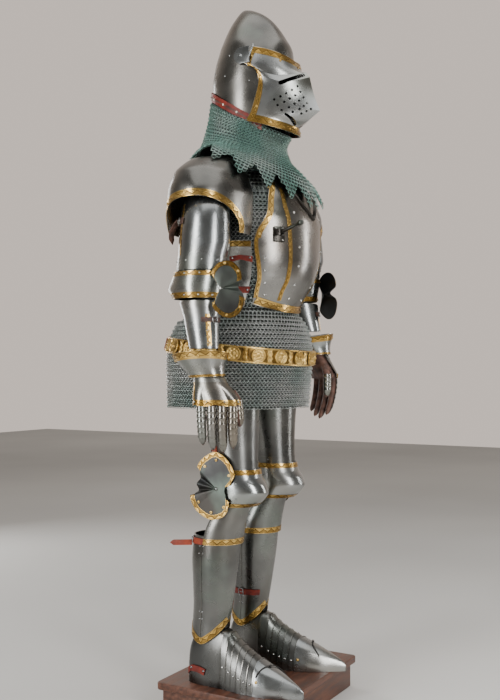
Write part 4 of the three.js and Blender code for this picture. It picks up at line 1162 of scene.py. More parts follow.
def make_lance_rest():
    foot, out, pivot = lance_rest_place()
    bm = bmesh.new()
    block(bm, basis(out, UP, foot), (30, 4, 40), (0, 4.4, 0), 1.2)
    flat_ahead = Vector((-sin(radians(8.6)), -cos(radians(8.6)), 0))
    for side in (-7.5, 7.5):
        block(bm, basis(flat_ahead, UP, pivot), (4, 17, 18), (side, -3.4, 0), 1.4)
    rod(bm, 2.4, 24, 14, basis(flat_ahead, UP, pivot) @ Matrix.Rotation(pi / 2, 4, "Y"))
    belongs(finish_mesh(bm, "lance_rest_fork", black_iron), "harness", "dark_steel", "lance_rest_base")
    turn = basis(out, UP, foot)
    corners = ((-10, 15), (10, 15), (-10, -15), (10, -15))
    seats = [seat(turn @ Vector((x * MM, 6.3 * MM, z * MM)), out, 3.4 * MM) for x, z in corners]
    rivets_at("lance_rest_studs", seats, steel)
    rise = radians(16)
    ahead = flat_ahead * cos(rise) + UP * sin(rise)
    arm = bmesh.new()
    bmesh.ops.create_circle(arm, segments=16, radius=3.3 * MM, cap_ends=True)
    stops = ((14, 5.4), (30, 4.8), (54, 4.0), (61, 4.2), (65, 6.4), (70, 7.8), (76, 6.2), (79.4, 2.0))
    bmesh.ops.translate(arm, verts=arm.verts, vec=(0, 0, -4 * MM))
    faces = arm.faces[:]
    for far, radius in stops:
        made = bmesh.ops.extrude_face_region(arm, geom=faces)
        new = [g for g in made["geom"] if isinstance(g, bmesh.types.BMVert)]
        if far > stops[0][0]:
            bmesh.ops.delete(arm, geom=faces, context="FACES")
        faces = [g for g in made["geom"] if isinstance(g, bmesh.types.BMFace)]
        for vert in new:
            flat = Vector((vert.co.x, vert.co.y, 0)).normalized() * radius * MM
            vert.co = Vector((flat.x, flat.y, (far - 4) * MM))
    arm.transform(basis(ahead, UP, pivot) @ Matrix.Rotation(-pi / 2, 4, "X"))
    bmesh.ops.recalc_face_normals(arm, faces=arm.faces)
    belongs(finish_mesh(arm, "lance_rest_bar", black_iron), "lance_rest", "dark_steel", "lance_rest_arm")


BELT_LEAN = 0.11
BELT_HEIGHT = 40
BELT_MIDDLE = 899
BELT_SLACK = 6.5
ROSETTES = 20


def on_belt(angle, height, lift=0.0):
    """A point of the belt: angle round the hips and height above its middle line."""
    flat = on(SHIRT, angle, BELT_MIDDLE, LEFT, BELT_SLACK)
    y = flat.y / MM - SHIFT_Y
    z = BELT_MIDDLE + BELT_LEAN * y + height
    s = section(SHIRT, min(round(z, 2), 930))
    a = radians(angle)
    back = s.front if cos(a) > 0 else s.back
    return place((s.side + BELT_SLACK + lift) * sin(a), s.y - (back + BELT_SLACK + lift) * cos(a), z)


def rosette_shape():
    """A round plaque: a beaded rim, a ring of petals and a boss, made from nested rings."""
    rings = ((1.0, 0.0), (1.0, 0.12), (0.92, 0.2), (0.8, 0.14), (0.72, 0.06), (0.55, 0.2), (0.38, 0.16),
            (0.3, 0.06), (0.2, 0.24), (0.0, 0.3))
    bm = stud_shape(1.0, rings, 32)
    for vert in bm.verts:
        wide = hypot(vert.co.x, vert.co.y)
        angle = atan2(vert.co.y, vert.co.x)
        if 0.45 < wide < 0.7:
            vert.co.z += 0.07 * cos(8 * angle)
        if 0.88 < wide < 0.96:
            vert.co.z += 0.03 * cos(16 * angle)
    return bm


def link_shape():
    """A narrow plaque between two rosettes: a waisted post with a bead above and below."""
    bm = bmesh.new()
    bmesh.ops.create_grid(bm, x_segments=6, y_segments=14, size=0.5)
    for vert in bm.verts:
        x, y = vert.co.x * 2, vert.co.y * 2
        waist = 0.62 + 0.38 * abs(sin(1.5 * pi * y))
        high = 0.12 + 0.22 * max(0, 1 - abs(x)) * (0.6 + 0.4 * cos(3 * pi * y))
        vert.co = Vector((x * 0.42 * waist, y * 0.94, high if abs(x) < 0.99 and abs(y) < 0.99 else 0.0))
    bm.verts.index_update()
    return bm


def make_belt():
    inside = place(0, 40, 900)

    def spot(u, v):
        return on_belt(360 * u, (v - 0.5) * BELT_HEIGHT, -1.4)

    band = finish_mesh(net(160, 4, spot, inside, 1.6, closed=True), "belt_band", belt_ground)
    belongs(band, "harness", "brass", "plaque_belt")
    for name, low in (("belt_upper_rope", 17.5), ("belt_lower_rope", -20.5)):
        strip(name, on_belt, level_line(0, 360, low), 3.4, plaque_brass, inside, wall=1.8, lift=-1.4,
                steps=200, closed=True, across=2)
    rosettes, links = [], []
    for i in range(ROSETTES):
        a = 360 * (i + 0.5) / ROSETTES
        rosettes.append(seat(on_belt(a, 0, -1.2), outward(on_belt, a, 0, inside), 19.5 * MM, 1.25))
        a = 360 * i / ROSETTES
        links.append(seat(on_belt(a, 0, -1.3), outward(on_belt, a, 0, inside), 19 * MM))
    belongs(repeated("belt_rosettes", rosette_shape(), rosettes, plaque_brass), "harness", "brass")
    belongs(repeated("belt_links", link_shape(), links, plaque_brass), "harness", "brass")
    tab = bmesh.new()
    end = on_belt(212, 0, 3)
    block(tab, basis(outward(on_belt, 212, 0, inside), UP, end), (42, 5, 34), (0, 0, 0), 1.5)
    belongs(finish_mesh(tab, "belt_leather_tab", red_leather), "harness", "red_leather")


# ------------------------------------------------------------------ arms
ARMS = {
    "right": (RIGHT, (274, -2, 1054), (284, -32, 832), (286, -56, 774)),
    "left": (LEFT, (274, 0, 1080), (286, -54, 895), (290, -76, 838)),
}
SPAULDER = table(
    (1195, 168, 8, 170, 94, 90, 0, 2.5),
    (1244, 168, 8, 172, 104, 100, 0, 2.5),
    (1300, 166, 8, 170, 104, 100, 0.02, 2.4),
    (1352, 162, 8, 155, 88, 92, 0.05, 2.2),
    (1380, 158, 8, 126, 73, 82, 0.05, 2),
    (1398, 154, 8, 94, 57, 70, 0.03, 2),
    (1408, 152, 8, 50, 36, 50, 0.03, 2),
)
SPAULDER_TOP = 1408


def arch_height(angle):
    """The spaulder's lower edge, which rises in an arch over the arm."""
    across = (angle - 75) / 62
    return 1200 + 83 * sqrt(1 - across * across) if abs(across) < 1 else 1200


def make_spaulder(hand, side):
    stops = [0, 3, 6, 9, 12.2, 12.9, 13.2, 14, 15.5, 17.5, 20, 23] + [26 + 4.08 * i for i in range(25)]
    stops += [127, 130, 132.5, 134.5, 136, 136.8, 137.1, 138, 142, 148, 156, 165, 180]
    columns = len(stops) - 1

    def spot(u, v):
        a = stops[round(u * columns)]
        return on(SPAULDER, a, mix(arch_height(a), SPAULDER_TOP, v), hand)

    centre = place(hand * 166, 8, 1290)
    plate = finish_mesh(net(columns, 30, spot, centre, STEEL), f"spaulder_plate_{side}", dark_steel)
    belongs(plate, "harness", "steel", f"spaulder_{side}")
    surface = tube_of(SPAULDER, hand)

    def arch(t):
        x = -cos(pi * t)
        if t <= 0 or t >= 1:
            x = -1 if t <= 0 else 1
        return 75 + 61.6 * x, 1200.5 + 82.5 * sqrt(max(1 - x * x, 0))

    strip(f"spaulder_arch_band_{side}", surface, arch, 18, brass, centre, steps=110, across=4)
    spots = ((88.5, 1292), (27.4, 1266), (118, 1270), (58, 1291))
    ring_rivets(f"spaulder_ring_rivets_{side}", surface, spots, centre, 4.2)


def arm_tube(name, rows, hand, node, wall=STEEL, columns=48, steps=16):
    lines = table(*rows)
    bottom, top = lines[0].z, lines[-1].z
    return shell(name, lines, (0, 360), level(bottom), level(top), steel, hand, wall, columns, steps,
            node=node)


def make_upper_cannon(arm, side):
    hand, (x, y, z), _, _ = arm
    rows = (
        (z + 47, x, y - 4, 56, 63, 63),
        (z + 62, x, y - 5, 55.5, 62.5, 62.5),
        (1180, 270, -14, 60, 68, 68),
        (1240, 265, -14, 57, 65, 65),
        (1290, 256, -8, 50, 58, 58),
    )
    arm_tube(f"upper_cannon_plate_{side}", rows, hand, f"upper_cannon_{side}")
    lines = table(*rows)
    surface = tube_of(lines, hand)
    centre = place(hand * 268, -12, 1190)
    shell(f"upper_cannon_lame_{side}", lines, (0, 360), level(z + 50), level(z + 78), steel, hand=hand,
            wall=LAME, rows=3, lift=1.2)
    for part, angle in (("front", 40), ("back", 128)):
        strip(f"upper_cannon_seam_{part}_{side}", surface, upright_line(angle, z + 84, 1268),
                7 if part == "back" else 2.2, fine_brass if part == "back" else steel, centre, lift=0.1,
                steps=30, across=2)
    spots = [(a, z + 70) for a in (60, 100, 150, 20)]
    rivets(f"upper_cannon_rivets_{side}", surface, spots, centre, 2.8, 1.2, steel)
    make_arm_strap(lines, hand, side, 1218)


def buckle(name, turn, width, height, material, body, slot):
    """A square frame with a tongue, lying on the XZ plane of a frame."""
    bm = bmesh.new()
    bmesh.ops.create_circle(bm, cap_ends=False, segments=10, radius=1.1 * MM,
            matrix=Matrix.Translation((width / 2 * MM, 0, 0)))
    bmesh.ops.spin(bm, geom=bm.verts[:] + bm.edges[:], axis=(0, 1, 0), cent=(0, 0, 0),
                   angle=2 * pi, steps=24, use_merge=True)
    for vert in bm.verts:
        wide = hypot(vert.co.x, vert.co.z)
        if wide > 1e-7:
            k = max(abs(vert.co.x), abs(vert.co.z)) / wide
            vert.co.x /= 0.55 + 0.45 * k
            vert.co.z = vert.co.z / (0.55 + 0.45 * k) * height / width
    block(bm, Matrix.Identity(4), (width * 0.9, 1.4, 1.8), (0, -1.2, 0), 0.4)
    bm.transform(turn)
    bmesh.ops.recalc_face_normals(bm, faces=bm.faces)
    return belongs(finish_mesh(bm, name, material), body, slot)


def strap_end(name, start, away, across, out, sizes, material):
    """The loose end of a strap, pointed at its tip: sizes are its length, width and bow outwards."""
    long, wide, bow = (size * MM for size in sizes)

    def spot(u, v):
        taper = 1 if u < 0.82 else 1 - (u - 0.82) / 0.18
        along_it = start + away.normalized() * long * u + out * bow * sin(pi * u)
        return along_it + across * wide * max(taper, 0.04) * (v - 0.5)

    return finish_mesh(net(16, 3, spot, start - out * 0.05, LEATHER), name, material)


def make_arm_strap(lines, hand, side, height):
    """The strap that closes the arm's plates behind, with its buckle and its hanging end."""
    surface = tube_of(lines, hand)
    centre = place(hand * 268, -12, height)
    strip(f"arm_strap_{side}", surface, level_line(118, 205, height), 15, dark_leather, centre,
            wall=LEATHER, lift=1.2, steps=24, across=2)
    out = outward(surface, 140, height + 7, centre)
    turn = basis(out, UP, surface(140, height + 7, 4.6))
    buckle(f"arm_buckle_{side}", turn, 17, 20, steel, "harness", "steel")
    tail = strap_end(f"arm_strap_end_{side}", surface(150, height + 14, 3.5),
            Vector((-0.02 * hand, 0.34, -0.94)), Vector((hand, 0.25, 0)), out, (66, 16, 10), dark_leather)
    belongs(tail, "harness", "brown_leather")


COUTER_RIM = ((-22, 36), (-9, 59), (10, 68), (32, 64), (50, 44), (53, 22), (44, 3), (56, -14), (59, -34),
        (50, -60), (28, -74), (4, -69), (-19, -46), (-7, -16), (-5, 8))
COUTER_PLEAT = (-4, 0, 3, 4, 4, 3, -9, 3, 4, 4, 4, 3, 0, -5, -6)
WING_BACK = {"right": 0, "left": 15}  # how far behind the elbow the wing sits


def ring_value(values, t):
    """Reads a closed list smoothly at a share of the way round it."""
    n = len(values)
    i = int(t * n) % n
    f = t * n - int(t * n)
    p0, p1, p2, p3 = (values[(i + k) % n] for k in (-1, 0, 1, 2))
    bend = 2 * p0 - 5 * p1 + 4 * p2 - p3
    twist = 3 * p1 - p0 - 3 * p2 + p3
    return 0.5 * (2 * p1 + (p2 - p0) * f + bend * f * f + twist * f**3)


def wing_surface(rim, pleat, rivet, across, out):
    """A wing's face: the angle runs round its rim in degrees, the second place from 0 to 100 at the rim."""
    def surface(angle, share, lift=0.0):
        t = (angle / 360) % 1
        far = share / 100
        s = ring_value([r[0] for r in rim], t) * far
        z = ring_value([r[1] for r in rim], t) * far
        rise = ring_value(pleat, t) * far + lift
        return rivet + (across * s + Vector((0, 0, z)) + out * rise) * MM
    return surface


def make_wing(name, surface, rivet, out, side, lobes, node, width):
    behind = rivet - out * 0.2

    def spot(u, v):
        return surface(360 * u, 100 * max(v, 0.02))

    bm = net(120, 10, spot, behind, STEEL, closed=True)
    # the wing plate takes the near-black steel: painted shade
    belongs(finish_mesh(bm, f"{name}_plate_{side}", wing_steel_painted_shade, 28), "harness", "steel", node)
    for step, (first, last) in enumerate(lobes):
        line = level_line(first, last, 99.5)
        # the wing's brass edges take the darkened brass: painted shade
        strip(f"{name}_edge_{step + 1}_{side}", surface, line, width, wing_brass_painted_shade, behind, steps=50)
    spots = [(mix(first, last, share), 90) for first, last in lobes for share in (0.2, 0.5, 0.8)]
    ring_rivets(f"{name}_ring_rivets_{side}", surface, spots, behind, 3.8)
    rivets_at(f"{name}_rivet_{side}", [seat(rivet + out * 0.6 * MM, out, 5 * MM)], steel)


def make_couter(arm, side):
    hand, (x, y, z), _, _ = arm
    cup = (
        (z - 24, x, y, 58, 58, 70),
        (z - 12, x, y, 61, 60, 79),
        (z, x, y, 63, 62, 87),
        (z + 12, x, y, 63.4, 63.6, 82),
        (z + 22, x, y, 63, 65, 76),
        (z + 44, x, y - 2, 60, 66, 68),
    )
    arm_tube(f"couter_cup_{side}", cup, hand, f"couter_{side}", steps=24)
    lines = table(*cup)
    surface = tube_of(lines, hand)
    centre = place(hand * x, y, z)
    for part, low, width in (("upper", z + 31, 12), ("lower", z - 24, 14)):
        strip(f"couter_{part}_band_{side}", surface, level_line(0, 360, low), width, brass, centre,
                steps=90, closed=True)
    spots = [(a, z + high) for a in (60, 95, 130, 25) for high in (37, -17)]
    rivets(f"couter_rivets_{side}", surface, spots, centre, 2.8, 1.2, steel)
    across = Vector((-hand * 0.45, -0.893, 0))
    rivet = place(hand * (x + 33), y - 82, z - 2) - across * WING_BACK[side] * MM
    out = Vector((hand * 0.893, -0.45, 0))
    wing = wing_surface(COUTER_RIM, COUTER_PLEAT, rivet, across, out)
    make_wing("couter_wing", wing, rivet, out, side, ((-20, 122), (180, 320)), f"couter_wing_{side}",
              -13)


def forearm_rows(arm):
    hand, elbow, wrist, _ = arm

    def at(t, side, front):
        z = mix(elbow[2] - 30, wrist[2] + 72, t)
        share = (elbow[2] - z) / (elbow[2] - wrist[2])
        return (z, mix(elbow[0], wrist[0], share), mix(elbow[1], wrist[1], share) + 2, side, front, front)

    return (at(1, 34, 39), at(0.6, 39, 44), at(0.25, 43, 48), at(0, 47, 52))


def make_lower_cannon(arm, side):
    hand, elbow, wrist, _ = arm
    rows = forearm_rows(arm)
    arm_tube(f"lower_cannon_plate_{side}", rows, hand, f"lower_cannon_{side}")
    lines = table(*rows)
    surface = tube_of(lines, hand)
    top, low = rows[-1][0], rows[0][0]
    centre = place(hand * elbow[0], elbow[1], (top + low) / 2)
    for i in range(2):
        high = top - 10 - 14 * i
        shell(f"lower_cannon_lame_{i + 1}_{side}", lines, (0, 360), level(high - 9), level(high + 7),
                steel, hand=hand, wall=1.0, rows=2, lift=2.6 - 1.2 * i)
    strip(f"lower_cannon_band_{side}", surface, upright_line(48, low + 6, top - 34), 11, fine_brass,
            centre, steps=30, across=2)
    spots = [(44, mix(low, top - 30, share)) for share in (0.15, 0.5, 0.85)]
    rivets(f"lower_cannon_rivets_{side}", surface, spots, centre, 2.4, 1.0, steel)
    strip(f"lower_cannon_strap_{side}", surface, level_line(-12, 62, mix(low, top, 0.55)), 12,
            dark_leather, centre, wall=LEATHER, lift=1.2, steps=20, across=2)
    out = outward(surface, 18, mix(low, top, 0.55) + 6, centre)
    turn = basis(out, UP, surface(18, mix(low, top, 0.55) + 6, 4.4))
    buckle(f"lower_cannon_buckle_{side}", turn, 14, 16, steel, "harness", "steel")


# ------------------------------------------------------------------ gauntlets
WRIST_BACK = 0.36
WRIST_IN = 0.2
FINGERS = (("index", 41, 104, 22), ("middle", 14, 116, 22.5), ("ring", -13, 110, 22),
        ("little", -39, 96, 20.5))
FINGER_BEND = 0.0022


def on_hand(arm, across, out, up):
    """A point of a hand: across its back to the thumb, out of its back, and up the arm."""
    hand, _, _, palm = arm
    rise = max(up, 0)
    side = Vector((-hand * 0.42, -0.907, 0))
    proud = Vector((hand * 0.907, -0.42, 0))
    base = place(hand * palm[0], palm[1], palm[2])
    sideways = side * (across - WRIST_BACK * rise)
    outwards = proud * (out - WRIST_IN * rise)
    return base + (sideways + outwards + UP * up) * MM


def on_finger(arm, finger, along_it, radius, angle):
    _, across, _, _ = finger
    t = radians(angle)
    curl = -FINGER_BEND * along_it * along_it
    lean = across * (1 - along_it * 0.0004)
    return on_hand(arm, lean + 4 + radius * sin(t), 4 + curl + radius * cos(t), -14 - along_it)


def on_thumb(arm, along_it, radius, angle):
    t = radians(angle)
    across = 52 + along_it * 0.1 + radius * cos(t) * 0.9
    return on_hand(arm, across, -27 - along_it * 0.1 + radius * sin(t),
            2 - along_it + radius * cos(t) * 0.2)


def make_cuff(arm, side):
    hand, _, (x, y, z), _ = arm
    rows = (
        (z, x, y, 39, 46, 46, -0.05, 2, 0),
        (z + 22, x, y + 9, 48, 54, 54, -0.06, 2, 0),
        (z + 44, x, y + 18, 61, 68, 68, -0.1, 2, 0.1),
        (z + 56, x - 1, y + 22, 67, 74, 74, -0.1, 2, 0.12),
    )
    arm_tube(f"cuff_plate_{side}", rows, hand, f"gauntlet_cuff_{side}", wall=THIN_STEEL, columns=72,
            steps=20)
    surface = tube_of(table(*rows), hand)
    centre = place(hand * x, y + 10, z + 28)
    strip(f"cuff_rim_band_{side}", surface, level_line(0, 360, z + 55.6), -19, brass, centre, steps=110,
            closed=True, across=4)
    strip(f"cuff_wrist_band_{side}", surface, level_line(0, 360, z + 0.4), 6, fine_brass, centre,
            steps=90, closed=True, across=2)
    spots = [(a, z + 44) for a in range(20, 360, 45)]
    ring_rivets(f"cuff_ring_rivets_{side}", surface, spots, centre, 3.6)


HAND_LINES = ((-10, 60, 25, 3), (0, 59, 27, 3), (20, 53, 31, 1.5), (42, 43, 36, 0), (62, 37, 36, 0))


def hand_surface(arm):
    """The plate over the back of the hand, with a ridge for each finger."""
    def surface(angle, up, lift=0.0):
        half, rise, ridge = (curve([(l[0], l[k]) for l in HAND_LINES], up) for k in (1, 2, 3))
        t = radians(angle)
        flute = ridge * 1.6 * (abs(cos(radians(angle) * 2.9)) - 0.5) * max(cos(t), 0) ** 0.5
        height = (rise + flute + lift) * max(cos(t), 0) ** 0.8 - 4
        return on_hand(arm, (half + lift) * sin(t) + 4, height, up)
    return surface


def make_hand_plate(arm, side):
    surface = hand_surface(arm)
    centre = on_hand(arm, 4, -12, 22)

    def spot(u, v):
        return surface(mix(-84, 84, u), mix(-10, 62, v))

    plate = finish_mesh(net(96, 24, spot, centre, THIN_STEEL), f"metacarpal_plate_{side}", brown_steel, 50)
    belongs(plate, "harness", "steel", f"hand_plate_{side}")

    def scalloped(u, v):
        a = mix(-80, 80, u)
        edge = 4.0 * abs(sin(radians(a) * 2.9))
        return surface(a, mix(-10 - edge, 2, v), 1.3)

    band = finish_mesh(net(96, 5, scalloped, centre, 0.9), f"knuckle_band_{side}", fine_brass, 50)
    belongs(band, "harness", "brass")
    strip(f"hand_edge_band_{side}", surface, upright_line(-79, 0, 56), -8, fine_brass, centre, lift=0.3,
            steps=30, across=2)
    lame = finish_mesh(net(64, 3, lambda u, v: surface(mix(-82, 82, u), mix(46, 60, v), 1.4), centre, 1.0),
                       f"wrist_lame_{side}", steel)
    belongs(lame, "harness", "steel")
    spots = [(a, -3) for a in (-66, -22, 22, 66)]
    rivets(f"knuckle_rivets_{side}", surface, spots, centre, 2.6, 1.4, steel)


def scaled(place_at, length, radii, scales, spread, centre_at):
    """A run of scales along a finger: each flares over the next and has a rounded end."""
    def spot(u, v):
        step = v * scales
        index = min(int(step + 1e-6), scales - 1)
        share = step - index
        flare = 0.3 + 2.6 * share**2 - 0.8 * share if index < scales - 1 else 0.4 * (1 - share)
        angle = mix(-spread, spread, u)
        reach = (index + share) / scales * length
        scallop = 3.2 * share * (cos(radians(angle)) - 0.6)
        return place_at(reach + scallop, curve(radii, reach / length) + flare, angle)
    return net(18, scales * 6, spot, centre_at, THIN_STEEL)


def make_fingers(arm, side):
    for finger in FINGERS:
        name, _, length, width = finger
        radii = ((0, 0.5 * width + 1.4), (0.35, 0.49 * width + 1.4), (0.74, 0.46 * width + 1.2),
                (0.93, 0.36 * width + 1), (1, 0.18 * width + 1))
        spot = partial(on_finger, arm, finger)
        bm = scaled(spot, length, radii, 7, 80, on_finger(arm, finger, length / 2, 4, 180))
        belongs(finish_mesh(bm, f"{name}_scales_{side}", scale_steel, 40), "harness", "steel",
                f"{name}_finger_{side}")
    radii = ((0, 14.5), (0.4, 14.2), (0.75, 13), (0.93, 9.5), (1, 5.5))
    thumb = scaled(lambda reach, radius, angle: on_thumb(arm, 4 + reach, radius, angle), 62, radii, 5, 75,
                   on_thumb(arm, 34, 6, 180))
    belongs(finish_mesh(thumb, f"thumb_scales_{side}", scale_steel, 40), "harness", "steel",
            f"thumb_{side}")


def leather_tube(place_at, stops, sides=20, steps=24):
    """A closed finger of leather through stops of (share of its length, radius)."""
    def spot(u, v):
        return place_at(v, max(curve(stops, v), 0.05), 360 * u)
    return net(sides, steps, spot, place_at(0.5, 0, 0), 0, closed=True)


def make_glove(arm, side):
    parts = bmesh.new()

    def join(bm):
        mesh = bpy.data.meshes.new("part")
        bm.to_mesh(mesh)
        bm.free()
        parts.from_mesh(mesh)
        bpy.data.meshes.remove(mesh)

    for finger in FINGERS:
        length, width = finger[2:]

        def place_at(v, radius, angle):
            return on_finger(arm, finger, mix(-16, length + 4, v), radius, angle)

        join(leather_tube(place_at, ((0, 0.42 * width), (0.55, 0.43 * width), (0.86, 0.38 * width),
                (0.96, 0.24 * width), (1, 0.2))))
    join(leather_tube(lambda v, radius, angle: on_thumb(arm, mix(-22, 71, v), radius, angle),
                      ((0, 8), (0.3, 12), (0.8, 10.5), (0.94, 7), (1, 0.2))))

    def palm(u, v):
        half, thick = curve(((0, 48), (0.25, 52), (0.5, 46), (1, 30)),
                v), curve(((0, 8), (0.3, 17), (1, 24)), v)
        t = 2 * pi * u
        crease = 0.5 * sin(9 * t) * sin(7 * v)
        return on_hand(arm, 4 + half * sin(t), -6 + (thick + crease) * cos(t), mix(-14, 60, v))

    join(net(48, 20, palm, on_hand(arm, 4, -6, 10), 1.4, closed=True))
    glove = finish_mesh(parts, f"glove_leather_{side}", glove_leather, 60)
    belongs(glove, "harness", "brown_leather", f"glove_{side}")


def arm_pieces(side):
    arm = ARMS[side]
    make_spaulder(arm[0], side)
    make_upper_cannon(arm, side)
    make_couter(arm, side)
    make_lower_cannon(arm, side)
    make_cuff(arm, side)
    make_hand_plate(arm, side)
    make_fingers(arm, side)
    make_glove(arm, side)


# ------------------------------------------------------------------ legs
LEGS = {"right": (RIGHT, 111, 0.0), "left": (LEFT, 100, 0.225)}
SOLE_GAP = 0.6


def leg_table(out, *rows):
    return table(*[(z, out, y, side, front, back) for z, y, side, front, back in rows])


def make_cuisse(hand, out, side):
    lines = leg_table(out, (566, -15, 56, 57, 57), (600, -13, 57, 59, 59), (662, -8, 62, 64, 64),
            (735, -3, 70, 72, 72), (800, 0, 76, 78, 78))
    shell(f"cuisse_plate_{side}", lines, (0, 360), level(566), level(800), leg_steel_painted_shade, hand=hand,
            columns=64, node=f"cuisse_{side}")
    surface = tube_of(lines, hand)
    centre = place(hand * out, -8, 680)
    strip(f"cuisse_seam_{side}", surface, upright_line(-34, 590, 796), 2, dark_steel, centre, wall=SEAM,
            lift=0.1, steps=30, across=2)
    shell(f"cuisse_lame_{side}", lines, (-112, 112), level(584), level(606), leg_steel_painted_shade, hand=hand,
            wall=LAME, rows=3, lift=1.4)
    spots = ((80, 598), (-80, 598), (128, 640), (128, 700), (128, 760))
    rivets(f"cuisse_rivets_{side}", surface, spots, centre, 2.8, 1.6, steel)
    for i, z in enumerate((632, 716)):
        strip(f"cuisse_strap_{i + 1}_{side}", surface, level_line(112, 210, z), 17, orange_leather,
                centre, wall=LEATHER, lift=0.8, steps=24, across=2)
        out_way = outward(surface, 150, z + 8, centre)
        buckle(f"cuisse_buckle_{i + 1}_{side}", basis(out_way, UP, surface(150, z + 8, 4.6)), 17, 21,
               steel, "harness", "steel")


POLEYN_RIM = ((47, 43), (40, 60), (26, 74), (1, 85), (-28, 66), (-43, 32), (-24, 2), (-28, -27),
        (-20, -57), (15, -69), (50, -50), (63, -19), (55, -6), (56, 12), (50, 26))
POLEYN_PLEAT = (2, 2, 1, 0, 0, 0, 0, 0, 0, 0, 1, 3, -7, 4, -7)


def make_poleyn(hand, out, side):
    lines = leg_table(out, (488, -6, 58, 66, 60), (506, -16, 60, 77, 60), (526, -20, 61, 86, 60),
            (546, -20, 62, 80, 61), (566, -17, 62, 68, 61), (588, -15, 61, 63, 61))
    shell(f"poleyn_cup_{side}", lines, (-112, 112), level(488), level(588), steel, hand=hand, columns=64,
            rows=28, node=f"poleyn_{side}")
    surface = tube_of(lines, hand)
    centre = place(hand * out, -12, 538)
    for part, low, width in (("upper", 574, 13.6), ("lower", 488.4, 13)):
        strip(f"poleyn_{part}_band_{side}", surface, level_line(-111, 111, low), width, brass, centre,
                steps=80, across=4)
    spots = [(a, z) for a in (96, -96, 70) for z in (553, 512)]
    rivets(f"poleyn_rivets_{side}", surface, spots, centre, 3, 0.2, steel)
    rivet = place(hand * (out + 72), 6, 537)
    across = Vector((hand * 0.1, 0.995, 0))
    proud = Vector((hand * 0.995, -0.1, 0))
    wing = wing_surface(POLEYN_RIM, POLEYN_PLEAT, rivet, across, proud)
    make_wing("poleyn_wing", wing, rivet, proud, side, ((6, 140), (166, 268)), f"poleyn_wing_{side}", 12.5)


def make_demi_greave(hand, out, side):
    lines = leg_table(out, (385, 47, 67, 72, 70), (420, 40, 66, 70, 66), (462, 24, 59, 64, 60),
            (500, 4, 48, 57, 50))
    shell(f"demi_greave_plate_{side}", lines, (-95, 95), level(385), level(500), leg_steel_painted_shade, hand=hand,
            columns=56, rows=20, node=f"demi_greave_{side}")
    surface = tube_of(lines, hand)
    centre = place(hand * out, 40, 440)
    strip(f"demi_greave_band_{side}", surface, level_line(-94.5, 94.5, 385.4), 16, brass, centre,
            steps=80, across=4)
    shell(f"demi_greave_lame_{side}", lines, (-93, 93), level(478), level(494), leg_steel_painted_shade, hand=hand,
            wall=LAME, rows=3, lift=1.2)
    spots = [(a, z) for z in (402, 420, 438) for a in (88, -88)]
    rivets(f"demi_greave_rivets_{side}", surface, spots, centre, 2.8, 0.2, steel)


GREAVE_FOOT = ((0, 173), (30, 152), (60, 130), (95, 112), (140, 130), (180, 152))


def make_greave(hand, out, side):
    lines = leg_table(out, (100, 70, 43, 57, 58), (160, 67, 42, 53, 55), (210, 61, 45, 56, 57),
            (274, 56, 53, 61, 62), (357, 50, 61, 66, 68), (407, 44, 61, 65, 66))

    def foot(angle):
        return curve(GREAVE_FOOT, turned(angle))

    shell(f"greave_plate_{side}", lines, (0, 360), foot, level(407), leg_steel_painted_shade, hand=hand, columns=72,
            rows=36, node=f"greave_{side}")
    surface = tube_of(lines, hand)
    centre = place(hand * out, 56, 270)
    strip(f"greave_ankle_band_{side}", surface, lambda t: (360 * t, foot(360 * t) + 0.5), 17, brass,
            centre, steps=120, closed=True, across=4)
    strip(f"greave_top_roll_{side}", surface, level_line(0, 360, 402), 4.4, steel, centre, wall=2.0,
            lift=0, steps=90, closed=True)
    for part, a in (("outer", 100), ("inner", 262)):
        strip(f"greave_{part}_seam_{side}", surface, lambda t, b=a: (b, mix(foot(b) + 18, 398, t)), 2.4,
                dark_steel, centre, wall=SEAM, lift=0.1, steps=40, across=2)
    spots = [(a, z) for z in (180, 200, 360, 380) for a in (96, 106, 256, 266)]
    rivets(f"greave_rivets_{side}", surface, spots, centre, 2.6, 0.2, steel)
    for i, (z, first, last) in enumerate(((392, 96, 196), (212, 216, 318))):
        strip(f"greave_strap_{i + 1}_{side}", surface, level_line(first, last, z - 8), 16,
                orange_leather if i == 0 else red_leather, centre, wall=LEATHER, lift=1.0, steps=28,
                across=2)
        a = mix(first, last, 0.45)
        turn = basis(outward(surface, a, z, centre), UP, surface(a, z, 4.8))
        buckle(f"greave_buckle_{i + 1}_{side}", turn, 16, 21, steel, "harness", "steel")
    tail = strap_end(f"greave_strap_end_{side}", surface(140, 384, 4.5),
            Vector((hand * 0.35, 0.93, -0.04)), UP, outward(surface, 120, 384, centre), (62, 15, 4),
            orange_leather)
    belongs(tail, "harness", "red_leather")


# Each line of the foot: its place from heel to toe, half its width, its height, and how round its top is.
FOOT = ((-130, 15, 72, 0.7), (-121, 28, 108, 0.6), (-104, 35, 134, 0.55), (-64, 39, 147, 0.5),
        (-26, 39, 152, 0.6), (-4, 42, 150, 0.75), (24, 46, 126, 0.82), (58, 50, 103, 0.85),
        (90, 50, 86, 0.85), (118, 46, 73, 0.85), (150, 36, 58, 0.9), (182, 20, 41, 0.9), (206, 8, 27, 1),
        (214, 3, 19, 1))


def foot_surface(hand, out, splay):
    """A foot plate's face: the angle runs over the foot, the second place goes forward to the toe."""
    def surface(angle, ahead, lift=0.0):
        half, high, round_top = (curve([(f[0], f[k]) for f in FOOT], ahead) for k in (1, 2, 3))
        a = radians(max(min(angle, 90), -90))
        aside = power(sin(a), round_top) * (half + lift)
        up = SOLE_GAP + max(cos(a), 0) ** round_top * (high + lift - SOLE_GAP)
        line = out + splay * max(20 + ahead, 0)
        return place(hand * (line + aside), -ahead, up)
    return surface


